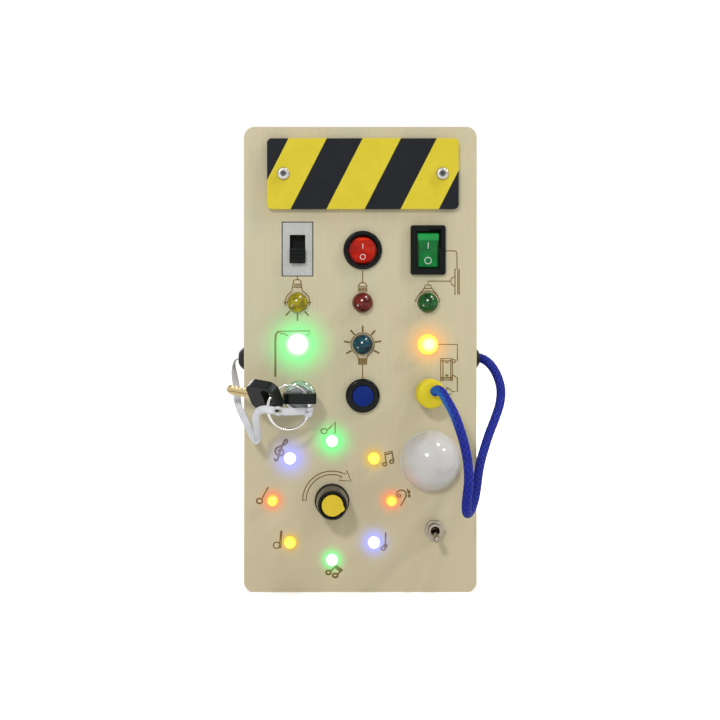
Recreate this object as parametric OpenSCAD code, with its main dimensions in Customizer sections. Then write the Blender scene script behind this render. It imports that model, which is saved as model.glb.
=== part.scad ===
// Wooden busy board for small children: a standing plywood box with switches, lamps,
// a key lock, a plug on a rope, a push button, a turning knob and a battery bay behind.
// Millimetres. X runs to the right, Z up, and the front faces -Y.
// The origin is the centre of the bottom face, on which the board stands.

/* [Board] */
// Width of the board
board_w = 100; // [100:1:130]
// Height of the board
board_h = 200; // [199:1:240]
// Radius of the board's four corners
corner_r = 4.5; // [3:0.5:5.5]
// Thickness of the plywood front
front_t = 4; // [3:0.5:5]
// Depth of the rails between the front and the back cover
rail_d = 25; // [24:1:36]
// Thickness of the rails
rail_t = 6; // [5:0.5:6]
// Thickness of the back cover
back_t = 3; // [2.5:0.5:5]

/* [Layout] */
// Places spread with the board: across, from its middle, in hundredths of its width,
// and up from its foot, in hundredths of its height.
// Left column, left of the middle
left_column = 27; // [24:0.5:29]
// Middle column, right of the middle
mid_column = 1; // [-2:0.5:3]
// Right column, right of the middle
right_column = 29; // [27:0.5:30]
// Toggle switch, right of the middle
toggle_column = 31.8; // [30:0.1:34]
// Knob and its ring of lamps, left of the middle
knob_column = 12.2; // [11:0.1:13]
// Row of the three switches
switch_row = 73.5; // [72.5:0.25:73.5]
// Upper row of lamps
upper_lamp_row = 62.25; // [60:0.25:63.5]
// Lower row of lamps
lower_lamp_row = 53.25; // [52:0.25:55]
// Row of the lock, the push button and the plug
lock_row = 42.25; // [41.5:0.25:43.5]
// White dome
dome_row = 28.25; // [27:0.25:29.5]
// Toggle switch
toggle_row = 13.5; // [10:0.25:16]
// Knob and its ring of lamps
knob_row = 19.75; // [19:0.25:20.5]
// Distance from the small lamps around the knob to the board's left edge
led_edge = 12.3; // [12.3:0.1:16]

/* [Warning plate] */
// Width of the striped plate
plate_w = 82; // [70:1:90]
// Height of the striped plate
plate_h = 30.3; // [24:0.1:31]
// Thickness of the striped plate
plate_t = 3; // [2:0.5:4]
// Distance from the top of the board to the middle of the plate
plate_drop = 20.4; // [18:0.1:22]
// Distance between the plate's two screws
plate_screw_gap = 68; // [60:1:74]
// Diameter of the plate screws' heads
pan_head_d = 5.3; // [4:0.1:6]
// Diameter of the plate screws' shanks
pan_shank_d = 2.8; // [2:0.1:3.4]
// Length of the plate screws below their heads
pan_screw_l = 10; // [8:1:14]

/* [Back cover] */
// Rows of screws in the back cover
back_screw_rows = 4; // [2:1:6]
// Distance from the first and last row to the bottom and top edges
back_screw_inset = 12; // [10:1:20]
// Diameter of the back screws' heads
back_head_d = 5; // [4:0.1:5.4]
// Diameter of the back screws' shanks
back_shank_d = 2.4; // [2:0.1:3]
// Length of the back screws
back_screw_l = 12; // [8:1:16]

/* [Battery bay] */
// Length of a battery cell
cell_l = 50.2; // [48:0.1:51]
// Diameter of a battery cell
cell_d = 14.2; // [13.5:0.1:14.5]
// Room at each end of a cell for its contact
contact_room = 3.4; // [3:0.1:4.5]
// Wall of the battery box
bay_wall = 1.5; // [1:0.1:2]
// Radius of the door's corners
door_r = 2; // [1:0.5:4]

/* [Slide switch] */
// Width of the metal face
slide_face_w = 13; // [12:0.1:14]
// Height of the metal face
slide_face_h = 23; // [22:0.1:24]
// Width of the slot in the metal face
slide_slot_w = 6.6; // [6:0.1:8]
// Height of the slot in the metal face
slide_slot_h = 12.1; // [11:0.1:14]
// Height of the sliding knob
slide_knob_h = 6.2; // [5:0.1:7]
// How far the sliding knob stands out
slide_knob_out = 3.2; // [2:0.1:5]

/* [Rocker switches] */
// Diameter of the round rocker's rim
round_rim_d = 16.6; // [16:0.1:18]
// Diameter of the round rocker
round_rocker_d = 12; // [11:0.1:12.4]
// Width of the square rocker's frame
square_rim_w = 15; // [14:0.1:17]
// Height of the square rocker's frame
square_rim_h = 21.2; // [20:0.1:23]
// Width of the square rocker
square_rocker_w = 9; // [8:0.1:10]
// Half the height of the square rocker
square_rocker_reach = 7.7; // [7:0.1:8]
// How far the rims stand out
rim_out = 2; // [1.5:0.1:2.5]
// Tilt of a rocker each way
rocker_tilt = 8; // [5:0.5:9]

/* [Lamps] */
// Diameter of the six dome lamps
lamp_d = 8.5; // [7:0.1:9]
// Diameter of the eight small lamps around the knob
led_d = 5; // [4:0.1:6]
// Straight part of a lamp in front of the panel
lamp_out = 1.6; // [0.5:0.1:3]
// Diameter of the white dome
dome_d = 25.4; // [22:0.1:25.6]
// Wall of the white dome
dome_wall = 1.2; // [0.8:0.1:2]
// Thickness of the circuit boards
pcb_t = 1.6; // [0.8:0.1:2]

/* [Knob] */
// Diameter of the knob at its foot
knob_d = 14.8; // [14:0.1:18]
// Diameter of the knob at its face
knob_face_d = 11.6; // [11:0.1:13]
// Height of the knob above the panel
knob_h = 17.5; // [14:0.5:22]
// Diameter of the coloured cap in the knob's face
knob_cap_d = 9; // [7:0.1:9.2]
// Diameter of the shaft
shaft_d = 6; // [5:0.1:6]
// Turn of the pointer below the horizontal
pointer_angle = 18; // [0:1:45]

/* [Push button] */
// Diameter of the button's rim
button_rim_d = 14.6; // [14:0.1:16]
// Diameter of the blue cap
button_cap_d = 8.9; // [8:0.1:9]
// How far the cap stands out of its rim
button_out = 2.6; // [2:0.1:4]
// Travel of the cap
button_travel = 2.2; // [1:0.1:2.5]
// Curls of the return spring
button_curls = 5; // [3:1:6]

/* [Lock and keys] */
// Diameter of the lock's chrome rim
lock_rim_d = 14; // [13.4:0.1:16]
// Diameter of the barrel that turns with the key
barrel_d = 9; // [8:0.1:9]
// Length and width of a key's head
key_head_l = 14.2; // [13:0.1:15]
// Thickness of a key's head
key_head_t = 4.4; // [3.5:0.1:4.6]
// Length of a key's blade
key_blade_l = 12.5; // [10:0.5:14]
// Width of a key's blade
key_blade_w = 4.6; // [4:0.1:5]
// Thickness of a key's blade
key_blade_t = 1.5; // [1.2:0.1:1.8]
// Length of the slot in a key's head
key_slot_l = 11.2; // [10:0.1:11.4]
// Width of the slot in a key's head
key_slot_w = 4.2; // [4:0.1:4.4]
// Distance from the end of a key's head to the middle of its slot
key_slot_back = 4.4; // [4.2:0.1:4.6]
// Diameter of the split ring, to the middle of its wire
ring_d = 18.7; // [18:0.1:19.2]
// Diameter of the split ring's wire
ring_wire = 0.8; // [0.7:0.05:0.9]
// Distance between the two turns of the split ring
ring_pitch = 1.25; // [1.2:0.01:1.35]

/* [Plug, grommets and cords] */
// Diameter of the plug's yellow body
plug_d = 12.4; // [11:0.1:14]
// How far the plug stands out of the panel
plug_out = 13; // [10:0.5:15]
// Diameter of the plug's pin
plug_pin_d = 5; // [4:0.1:6]
// Diameter of the braided rope
rope_d = 4; // [3:0.1:4.1]
// Width of the flat ribbon
ribbon_w = 3.2; // [2.8:0.1:3.4]
// Thickness of the flat ribbon
ribbon_t = 0.8; // [0.6:0.1:1]
// Diameter of a grommet's dome
grommet_d = 11.8; // [10:0.1:13]
// How far a grommet stands out of the side
grommet_out = 3.6; // [2.5:0.1:5]
// Diameter of the hole through a grommet
grommet_bore_d = 4.3; // [4.2:0.1:4.6]

/* [Toggle switch] */
// Width of the hexagonal nut across its flats
toggle_nut_af = 7.6; // [7.5:0.1:10]
// Diameter of the threaded neck
toggle_neck_d = 5.8; // [5.4:0.1:6.2]
// Length of the lever from its pivot
lever_l = 12; // [9:0.5:15]
// Diameter of the lever's tip
lever_tip_d = 2.8; // [2.6:0.1:4]
// Tilt of the lever each way
lever_tilt = 12; // [8:1:14]

/* [Hidden] */
$fn = 64;

// Depth of the whole board, and the planes where its layers meet
board_d = front_t + rail_d + back_t;
front_y = -board_d / 2;
panel_back_y = front_y + front_t;
cover_y = board_d / 2 - back_t;
back_y = board_d / 2;

// Clearances
run_gap = 0.05;     // radial, a shaft or pin in its hole
slide_gap = 0.2;    // each side of a sliding or tilting piece
seat_gap = 0.15;    // around a piece that is dropped into its hole
cut = 1;            // how far a cutting solid runs past a face
sliver = 0.01;

// Places on the front, as distances to the right of the middle and above the bottom
left_x = board_w * left_column / 100;
mid_x = board_w * mid_column / 100;
right_x = board_w * right_column / 100;
switch_z = board_h * switch_row / 100;
upper_lamp_z = board_h * upper_lamp_row / 100;
lower_lamp_z = board_h * lower_lamp_row / 100;
lock_row_z = board_h * lock_row / 100;
slide_at = [-left_x, switch_z + 0.5];
round_at = [mid_x, switch_z];
square_at = [right_x, switch_z];
lock_at = [-left_x + 1, lock_row_z - 0.5];
button_at = [mid_x, lock_row_z];
plug_at = [right_x + 0.5, lock_row_z + 1.3];
toggle_at = [board_w * toggle_column / 100, board_h * toggle_row / 100];
knob_at = [-board_w * knob_column / 100, board_h * knob_row / 100];
plate_at = [mid_x, board_h - plate_drop];

// The white dome sits close to the right rail
dome_flange_r = dome_d / 2 + 0.7;
dome_at = [board_w / 2 - rail_t - dome_flange_r - 0.5, board_h * dome_row / 100];

// The ring of small lamps is as wide as the board's left edge and its bottom rail let it be
ring_board_margin = led_d / 2 + 1.4;
led_ring_r = min(board_w / 2 + knob_at[0] - led_edge, knob_at[1] - rail_t - ring_board_margin - 0.5);

// The two places that lie a distance w apart, about the middle
function pair(w) = [-w / 2, w / 2];

// Shapes that repeat

// A rectangle with round corners, centred
module rounded_rect(w, h, r) {
    square([w - 2 * r, h], center = true);
    square([w, h - 2 * r], center = true);
    for (x = pair(w - 2 * r), y = pair(h - 2 * r))
        translate([x, y]) circle(r);
}

// A flat shape drawn as (x, z), stood up and thickened from y0 to y1
module upright(y0, y1) {
    translate([0, y1, 0])
        rotate([90, 0, 0])
            linear_extrude(height = y1 - y0) children();
}

// A piece on the front: local x to the right, local y up, local z out of the panel
module on_front(at) {
    translate([at[0], front_y, at[1]]) rotate([90, 0, 0]) children();
}

// A disc or rod from z0 to z1
module rod(r, z0, z1) {
    translate([0, 0, z0]) cylinder(r = r, h = z1 - z0);
}

// A box centred on the axis, from z0 to z1
module block(w, h, z0, z1) {
    translate([-w / 2, -h / 2, z0]) cube([w, h, z1 - z0]);
}

// A solid of revolution whose top edge is rounded
module rounded_disc(r, z0, z1, edge) {
    rotate_extrude() {
        square_from([0, z0], [r - edge, z1]);
        square_from([0, z0], [r, z1 - edge]);
        translate([r - edge, z1 - edge]) circle_quarter(edge);
    }
}

// A rectangle between two corners
module square_from(low, high) {
    translate(low) square(high - low);
}

// The quarter of a circle that lies right of and above its centre
module circle_quarter(r) {
    intersection() {
        circle(r);
        square(r);
    }
}

// Sweeps, for wire and cord

function unit(v) = v / norm(v);

// Direction of a route at its point i
function heading(route, i) =
    i == 0 ? unit(route[1] - route[0])
    : i == len(route) - 1 ? unit(route[i] - route[i - 1])
    : unit(unit(route[i + 1] - route[i]) + unit(route[i] - route[i - 1]));

// The part of v that is square to t
function square_to(v, t) = unit(v - (v * t) * t);

// The side direction at each point, carried along the route without a twist
function carried(route, first) = [
    for (i = 0, s = square_to(first, heading(route, 0));
         i < len(route);
         i = i + 1, s = i < len(route) ? square_to(s, heading(route, i)) : s)
        s
];

// A tube through the route's points; section is its outline, along the side and square to it
module swept(route, sides, section) {
    n = len(section);
    last = len(route) - 1;
    rings = [
        for (i = [0:last])
            let (t = heading(route, i), s = sides[i], u = cross(t, s))
                for (q = section) route[i] + q[0] * s + q[1] * u
    ];
    walls = [
        for (i = [0:last - 1], k = [0:n - 1])
            let (a = i * n + k, b = i * n + (k + 1) % n)
                each [[a, a + n, b + n], [a, b + n, b]]
    ];
    start = [for (k = [1:n - 2]) [0, k, k + 1]];
    end = [for (k = [1:n - 2]) [last * n, last * n + k + 1, last * n + k]];
    polyhedron(points = rings, faces = concat(walls, start, end));
}

// Outline of an ellipse with n corners
function ellipse(a, b, n) = [for (k = [0:n - 1]) [a * cos(360 * k / n), b * sin(360 * k / n)]];

// The points of a spring about local Z
function spring_route(r, pitch, turns, per_turn) = [
    for (k = [0:turns * per_turn])
        let (a = 360 * k / per_turn) [r * cos(a), r * sin(a), pitch * k / per_turn]
];

// The points of a split ring about local Z: two flat turns, joined by a short step
function ring_route(r, pitch, step, per_turn, first) = [
    for (k = [0:per_turn * 2 - round(step * per_turn / 360)])
        let (a = 360 * k / per_turn, rise = (a - 360 + step) / step)
            [r * cos(first + a), r * sin(first + a), pitch * max(0, min(1, rise))]
];

// Round wire along the points of a coil about local Z
module wire(route, d) {
    sides = [for (p = route) unit([p[0], p[1], 0])];
    swept(route, sides, ellipse(d / 2, d / 2, 6));
}

// Least distance between the turns of a coil's wire, measured on its points
function coil_gap(route, d, per_turn) = min([
    for (i = [0:len(route) - per_turn], j = [i + per_turn / 2:len(route) - 1])
        norm(route[i] - route[j])
]) - d;

// Board: front, rails and back

module board_outline() {
    translate([0, board_h / 2]) rounded_rect(board_w, board_h, corner_r);
}

lamp_hole_d = lamp_d + 2 * seat_gap;
led_hole_d = led_d + 2 * seat_gap;
dome_hole_d = dome_d + 2 * seat_gap;
round_barrel_d = round_rim_d - 1.7;
square_body_w = square_rim_w - 2;
square_body_h = square_rim_h - 2;
bush_d = 7;
m12_d = 11.8;
socket_neck_d = 9.8;

lamp_places = [
    [-left_x, upper_lamp_z], [mid_x, upper_lamp_z], [right_x, upper_lamp_z],
    [-left_x, lower_lamp_z], [mid_x, lower_lamp_z], [right_x, lower_lamp_z]
];

// The small lamps, counted clockwise from the top
function led_at(k) = knob_at + led_ring_r * [sin(45 * k), cos(45 * k)];

module through_hole(at, d) {
    on_front(at) rod(d / 2, -front_t - cut, cut);
}

module front_panel() {
    color("#cbc2a0")
        difference() {
            upright(front_y, panel_back_y) board_outline();
            for (at = lamp_places) through_hole(at, lamp_hole_d);
            for (k = [0:7]) through_hole(led_at(k), led_hole_d);
            through_hole(dome_at, dome_hole_d);
            through_hole(round_at, round_barrel_d + 2 * seat_gap);
            through_hole(knob_at, bush_d + 2 * seat_gap);
            through_hole(toggle_at, toggle_neck_d + 2 * seat_gap);
            through_hole(plug_at, socket_neck_d + 2 * seat_gap);
            through_hole(lock_at, m12_d + 2 * seat_gap);
            through_hole(button_at, m12_d + 2 * seat_gap);
            for (x = pair(plate_screw_gap))
                through_hole(plate_at + [x, 0], pan_shank_d + 2 * run_gap);
            on_front(slide_at)
                block(slide_face_w + 4 * seat_gap, slide_face_h + 4 * seat_gap, -front_t - cut, cut);
            on_front(square_at)
                block(square_body_w + 2 * seat_gap, square_body_h + 2 * seat_gap, -front_t - cut, cut);
        }
}

// Screws of the back cover, as (x, z)
back_screw_places = [
    for (x = pair(board_w - rail_t), k = [0:back_screw_rows - 1])
        [x, back_screw_inset + k * (board_h - 2 * back_screw_inset) / (back_screw_rows - 1)]
];

module back_pilot(at) {
    translate([at[0], back_y - back_screw_l - 0.5, at[1]])
        rotate([-90, 0, 0]) cylinder(d = back_shank_d + 2 * run_gap, h = back_screw_l + cut);
}

grommet_neck_d = 8;
grommet_at = [board_d / 2 - back_t - rail_d / 2, board_h / 2];

module side_rail(side) {
    difference() {
        intersection() {
            upright(panel_back_y, cover_y) board_outline();
            translate([side * (board_w - rail_t) / 2 - rail_t / 2, panel_back_y, 0])
                cube([rail_t, rail_d, board_h]);
        }
        for (at = back_screw_places) back_pilot(at);
        translate([side * board_w / 2 - rail_t - cut, grommet_at[0], grommet_at[1]])
            rotate([0, 90, 0]) cylinder(d = grommet_neck_d + 2 * run_gap, h = 2 * (rail_t + cut));
    }
}

module left_rail() {
    color("#bfb38c") side_rail(-1);
}

module right_rail() {
    color("#bfb38c") side_rail(1);
}

module cross_rail(z) {
    translate([-board_w / 2 + rail_t, panel_back_y, z]) cube([board_w - 2 * rail_t, rail_d, rail_t]);
}

module top_rail() {
    color("#c4b892") cross_rail(board_h - rail_t);
}

module bottom_rail() {
    color("#c4b892") cross_rail(0);
}

// Battery bay, held to the inside of the back cover

bay_w = cell_l + 2 * contact_room + 2 * bay_wall;
bay_h = 2 * cell_d + 4 * slide_gap + 2 * bay_wall;
bay_d = cell_d + 2 * slide_gap + bay_wall;
bay_lip = 1.4;
bay_lip_t = 1.2;
bay_z = board_h - rail_t - 0.5 - bay_lip - bay_h / 2;
door_tab_r = 4;
door_tab_drop = 5;
door_screw_at = [0, bay_z - bay_h / 2 - door_tab_drop + 1];
door_boss_l = 7;
door_screw_d = 2.4;
door_screw_l = 8;
cell_z = (cell_d + 2 * slide_gap) / 2;
cell_y = cover_y - bay_d + bay_wall + slide_gap + cell_d / 2;

// Outline of the battery door with its screw tab, grown by a margin
module door_outline(grow) {
    translate([0, bay_z]) rounded_rect(bay_w + 2 * grow, bay_h + 2 * grow, door_r + grow);
    translate(door_screw_at) circle(door_tab_r + grow);
    translate([-door_tab_r - grow, door_screw_at[1]])
        square([2 * (door_tab_r + grow), bay_z - door_screw_at[1]]);
}

module back_cover() {
    color("#b5a67c")
        difference() {
            upright(cover_y, back_y) board_outline();
            upright(cover_y - cut, back_y + cut) door_outline(slide_gap);
            for (at = back_screw_places) {
                back_pilot(at);
                countersink(at, back_head_d, seat_gap);
            }
        }
}

// The cone of a countersunk head, its wide end flush with the back, at (x, z)
module countersink(at, head_d, gap) {
    depth = head_d / 2 - 1;
    translate([at[0], back_y + sliver, at[1]])
        rotate([90, 0, 0]) cylinder(r1 = head_d / 2 + gap, r2 = 1 + gap, h = depth + gap);
}

// A countersunk screw with a cross recess, driven in from the back
module flat_screw(at, head_d, shank_d, length) {
    depth = head_d / 2 - 1;
    translate([at[0], back_y, at[1]])
        rotate([90, 0, 0])
            difference() {
                union() {
                    cylinder(r1 = head_d / 2, r2 = 1, h = depth);
                    cylinder(d = shank_d, h = length - shank_d);
                    translate([0, 0, length - shank_d]) cylinder(d1 = shank_d, d2 = 0.2, h = shank_d);
                }
                cross_recess(head_d * 0.55, -cut, 0.9);
            }
}

// A cross recess from z0 to z1
module cross_recess(w, z0, z1) {
    for (turn = [0, 90])
        rotate([0, 0, turn]) block(w, 0.7, z0, z1);
}

module back_screws() {
    color("silver")
        for (at = back_screw_places) flat_screw(at, back_head_d, back_shank_d, back_screw_l);
}

module battery_box() {
    color("#1d1d1f")
        difference() {
            union() {
                upright(cover_y - bay_d, cover_y)
                    translate([0, bay_z]) rounded_rect(bay_w, bay_h, 1);
                upright(cover_y - bay_lip_t, cover_y) door_outline(bay_lip);
                translate([door_screw_at[0], cover_y - door_boss_l, door_screw_at[1]])
                    rotate([-90, 0, 0]) cylinder(r = 2.6, h = door_boss_l);
            }
            upright(cover_y - bay_d + bay_wall, cover_y + cut)
                translate([0, bay_z])
                    square([bay_w - 2 * bay_wall, bay_h - 2 * bay_wall], center = true);
            translate([door_screw_at[0], cover_y - door_boss_l + 1, door_screw_at[1]])
                rotate([-90, 0, 0]) cylinder(d = door_screw_d + 2 * run_gap, h = door_boss_l + cut);
        }
}

// One cell lying along X, its positive button on the side that turn says
module cell(z, turn) {
    translate([0, cell_y, bay_z + z])
        rotate([0, turn, 0]) {
            rotate([0, 90, 0]) translate([0, 0, -cell_l / 2]) cylinder(d = cell_d, h = cell_l - 1);
            rotate([0, 90, 0]) translate([0, 0, cell_l / 2 - 1 - sliver]) cylinder(d = 5, h = 1);
        }
}

module battery_cells() {
    color("#3d7f4a") {
        cell(cell_z, 0);
        cell(-cell_z, 180);
    }
}

contact_t = 0.4;
contact_wire = 0.7;
contact_curls = 3;

module battery_contacts() {
    reach = bay_w / 2 - bay_wall;
    spring_l = contact_room - contact_t - 0.3;
    color("#c9c9cc")
        for (side = [-1, 1]) {
            for (z = [-cell_z, cell_z])
                translate([side * (reach - contact_t / 2), cell_y, bay_z + z])
                    cube([contact_t, 9, 9], center = true);
            translate([side * (reach - contact_t - contact_wire / 2), cell_y, bay_z - side * -cell_z])
                rotate([0, -90 * side, 0])
                    wire(spring_route(3, (spring_l - contact_wire) / contact_curls, contact_curls, 8), contact_wire);
        }
}

module battery_door() {
    color("#23201d")
        difference() {
            upright(cover_y, back_y) door_outline(0);
            countersink(door_screw_at, back_head_d, seat_gap);
            translate([door_screw_at[0], cover_y - cut, door_screw_at[1]])
                rotate([-90, 0, 0]) cylinder(d = door_screw_d + 2 * seat_gap, h = back_t + 2 * cut);
        }
}

module door_screw() {
    color("silver") flat_screw(door_screw_at, back_head_d, door_screw_d, door_screw_l);
}

// Warning plate and its screws

module warning_plate() {
    color("#f2d21c")
        on_front(plate_at)
            difference() {
                linear_extrude(height = plate_t) rounded_rect(plate_w, plate_h, 2);
                for (x = pair(plate_screw_gap))
                    translate([x, 0, 0]) rod(pan_shank_d / 2 + seat_gap, -cut, plate_t + cut);
            }
}

module plate_screws() {
    color("silver")
        for (x = pair(plate_screw_gap))
            on_front(plate_at + [x, 0])
                difference() {
                    union() {
                        rounded_disc(pan_head_d / 2, plate_t, plate_t + 1.7, 0.9);
                        rod(pan_shank_d / 2, plate_t - pan_screw_l + pan_shank_d, plate_t + 1);
                        translate([0, 0, plate_t - pan_screw_l])
                            cylinder(d1 = 0.3, d2 = pan_shank_d, h = pan_shank_d);
                    }
                    cross_recess(pan_head_d * 0.55, plate_t + 0.8, plate_t + 2);
                }
}

// Slide switch

slide_face_t = 0.8;
slide_recess = 0.5;
slide_flange = 2;
slide_case_back = 10;
slide_travel = slide_slot_h - slide_knob_h - 2 * slide_gap;

module slide_switch_plate() {
    color("#c8c8ca")
        on_front(slide_at)
            difference() {
                block(slide_face_w, slide_face_h, -slide_recess - slide_face_t, -slide_recess);
                block(slide_slot_w, slide_slot_h, -front_t, cut);
            }
}

module slide_switch_body() {
    neck_top = -slide_recess - slide_face_t;
    color("#151515")
        on_front(slide_at)
            difference() {
                union() {
                    block(slide_face_w, slide_face_h, -front_t, neck_top);
                    block(slide_face_w + 2 * slide_flange, slide_face_h + 2 * slide_flange,
                          -front_t - 1.2, -front_t);
                    block(slide_face_w - 1, slide_face_h - 3, -slide_case_back, -front_t - 1.2);
                    for (y = [-5, 0, 5])
                        translate([0, y, 0]) block(2, 0.6, -slide_case_back - 3, -slide_case_back);
                }
                block(slide_slot_w, slide_slot_h, -front_t - 2, cut);
            }
}

module slide_switch_slider() {
    color("#1b1b1d")
        on_front(slide_at)
            translate([0, -slide_travel / 2, 0])
                difference() {
                    block(slide_slot_w - 2 * slide_gap, slide_knob_h, -front_t - 2 + slide_gap, slide_knob_out);
                    for (k = [-1, 0, 1])
                        translate([0, k * 1.5, 0]) block(slide_slot_w, 0.5, slide_knob_out - 0.4, slide_knob_out + cut);
                }
}

// Rocker switches

rocker_pivot_z = rim_out - 3.2;
rocker_mid = 2.4;
rocker_end = 3.9;
rocker_foot = -1.6;
rocker_pin_r = 1;
rocker_well = -8;
case_back = -11;
case_tab_l = 6;

// A rocker about the local X axis: reach is its radius there, from the axis to its ends
module rocker_form(w, reach) {
    intersection() {
        rotate([0, 90, 0]) translate([0, 0, -w / 2]) cylinder(r = reach, h = w);
        rotate([90, 0, 90])
            translate([0, 0, -w / 2])
                linear_extrude(height = w)
                    polygon([
                        [-reach, rocker_foot], [reach, rocker_foot], [reach, rocker_end],
                        [0, rocker_mid], [-reach, rocker_end]
                    ]);
    }
}

// A rocker's pivot pins, tip to tip
module rocker_pins(r, length) {
    rotate([0, 90, 0]) translate([0, 0, -length / 2]) cylinder(r = r, h = length);
}

round_well_d = round_rocker_d + 1.1;
round_pin_l = round_barrel_d - 2 * 0.2;

module round_rocker_housing() {
    color("#101010")
        on_front(round_at)
            difference() {
                union() {
                    rounded_disc(round_rim_d / 2, 0, rim_out, 0.8);
                    rod(round_barrel_d / 2, case_back, sliver);
                    for (x = [-3, 3])
                        translate([x, 0, 0]) block(0.8, 4, case_back - case_tab_l, case_back + sliver);
                }
                rod(round_well_d / 2, rocker_well, rim_out + cut);
                translate([0, 0, rocker_pivot_z]) rocker_pins(rocker_pin_r + run_gap, round_rim_d);
            }
}

module round_rocker_button() {
    color("#c8201a")
        on_front(round_at)
            translate([0, 0, rocker_pivot_z])
                rotate([rocker_tilt, 0, 0])
                    union() {
                        intersection() {
                            rocker_form(round_rocker_d, round_rocker_d / 2 + 0.05);
                            rod(round_rocker_d / 2, rocker_foot - cut, rocker_end + cut);
                        }
                        rocker_pins(rocker_pin_r, round_pin_l);
                    }
}

square_well_w = square_rocker_w + 2 * slide_gap + 0.1;
square_well_h = 2 * square_rocker_reach + 0.6;
square_pin_l = square_body_w - 2 * 0.4;

module square_rocker_housing() {
    color("#101010")
        on_front(square_at)
            difference() {
                union() {
                    linear_extrude(height = rim_out) rounded_rect(square_rim_w, square_rim_h, 1);
                    block(square_body_w, square_body_h, case_back, sliver);
                    for (y = [-1, 0, 1] * square_body_h * 0.31)
                        translate([0, y, 0]) block(4, 0.8, case_back - case_tab_l, case_back + sliver);
                }
                block(square_well_w, square_well_h, rocker_well - 1, rim_out + cut);
                translate([0, 0, rocker_pivot_z]) rocker_pins(rocker_pin_r + run_gap, square_rim_w + cut);
            }
}

module square_rocker_button() {
    color("#12813c")
        on_front(square_at)
            translate([0, 0, rocker_pivot_z])
                rotate([rocker_tilt, 0, 0])
                    union() {
                        rocker_form(square_rocker_w, square_rocker_reach);
                        rocker_pins(rocker_pin_r, square_pin_l);
                    }
}

// Lamps

lamp_flange_t = 1;
lead_r = 0.3;
lead_gap = 2.54;

// A lamp with a domed front, a flange behind the panel and two leads
module lamp(d, lead_l) {
    flange_z = -front_t - lamp_flange_t;
    rod(d / 2, flange_z, lamp_out);
    translate([0, 0, lamp_out]) sphere(d = d);
    rod(d / 2 + 0.5, flange_z, -front_t);
    for (x = pair(lead_gap))
        translate([x, 0, 0]) rod(lead_r, flange_z - lead_l, flange_z + sliver);
}

module dome_lamp(k) {
    on_front(lamp_places[k]) lamp(lamp_d, 9);
}

module yellow_lamp() {
    color("#d8ac1c") dome_lamp(0);
}

module red_lamp() {
    color("#9c1712") dome_lamp(1);
}

module green_lamp() {
    color("#1d6b35") dome_lamp(2);
}

module street_lamp() {
    color("#7cff7c") dome_lamp(3);
}

module blue_lamp() {
    color("#164f8e") dome_lamp(4);
}

module amber_lamp() {
    color("#ffa030") dome_lamp(5);
}

// The two small lamps of one colour, opposite each other
module ring_leds(k) {
    for (place = [k, k + 4]) on_front(led_at(place)) lamp(led_d, 3);
}

module ring_leds_green() {
    color("#7cff7c") ring_leds(0);
}

module ring_leds_yellow() {
    color("#ffd21c") ring_leds(1);
}

module ring_leds_red() {
    color("#ff5a28") ring_leds(2);
}

module ring_leds_blue() {
    color("#8a8aff") ring_leds(3);
}

rotary_can_d = 16;
rotary_can_back = -front_t - 8.5;
rotary_pin_l = 3.5;

module ring_board() {
    top = -front_t - lamp_flange_t;
    color("#1f5c34")
        difference() {
            on_front(knob_at)
                difference() {
                    rod(led_ring_r + ring_board_margin, top - pcb_t, top);
                    rod(rotary_can_d / 2 + 0.6, top - pcb_t - cut, top + cut);
                }
            for (k = [0:7], x = pair(lead_gap))
                on_front(led_at(k) + [x, 0]) rod(lead_r + seat_gap, top - pcb_t - cut, top + cut);
        }
}

// White dome, hollow, with its own lamp board behind it

module dome_lens() {
    color("#f2f2ee")
        on_front(dome_at)
            difference() {
                union() {
                    rod(dome_d / 2, -front_t, 0);
                    intersection() {
                        sphere(d = dome_d);
                        rod(dome_d, -sliver, dome_d);
                    }
                    rod(dome_flange_r, -front_t - 1, -front_t);
                }
                sphere(d = dome_d - 2 * dome_wall);
                rod(dome_d / 2 - dome_wall, -front_t - 1 - cut, 0);
            }
}

module dome_board() {
    top = -front_t - 1;
    color("#1f5c34")
        on_front(dome_at)
            union() {
                rod(dome_flange_r, top - pcb_t, top);
                for (turn = [0, 120, 240])
                    rotate([0, 0, turn]) translate([5, 0, 0]) block(3, 3, top - sliver, top + 1);
            }
}

// Knob on its rotary switch

bush_out = 4;
shaft_tip = knob_h - 3;
shaft_foot = -front_t - 6;
rotary_nut_t = 2;
rotary_nut_af = 10;
knob_foot = 0.8;
knob_skirt = bush_out + 0.6;

module rotary_switch() {
    color("#8f9294")
        on_front(knob_at)
            difference() {
                union() {
                    rod(rotary_can_d / 2, rotary_can_back, -front_t);
                    rod(bush_d / 2, -front_t - sliver, bush_out);
                    for (x = [-4, 0, 4])
                        translate([x, -rotary_can_d / 2 + 1.5, 0])
                            block(1, 0.6, rotary_can_back - rotary_pin_l, rotary_can_back + sliver);
                }
                rod(shaft_d / 2 + run_gap, shaft_foot - 0.3, bush_out + cut);
            }
}

module rotary_shaft() {
    color("#b9bbbd")
        on_front(knob_at)
            difference() {
                rod(shaft_d / 2, shaft_foot, shaft_tip);
                rotate([0, 0, -pointer_angle])
                    translate([shaft_d / 2 - 1.2, -shaft_d, knob_skirt + 1])
                        cube([shaft_d, 2 * shaft_d, knob_h]);
            }
}

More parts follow.
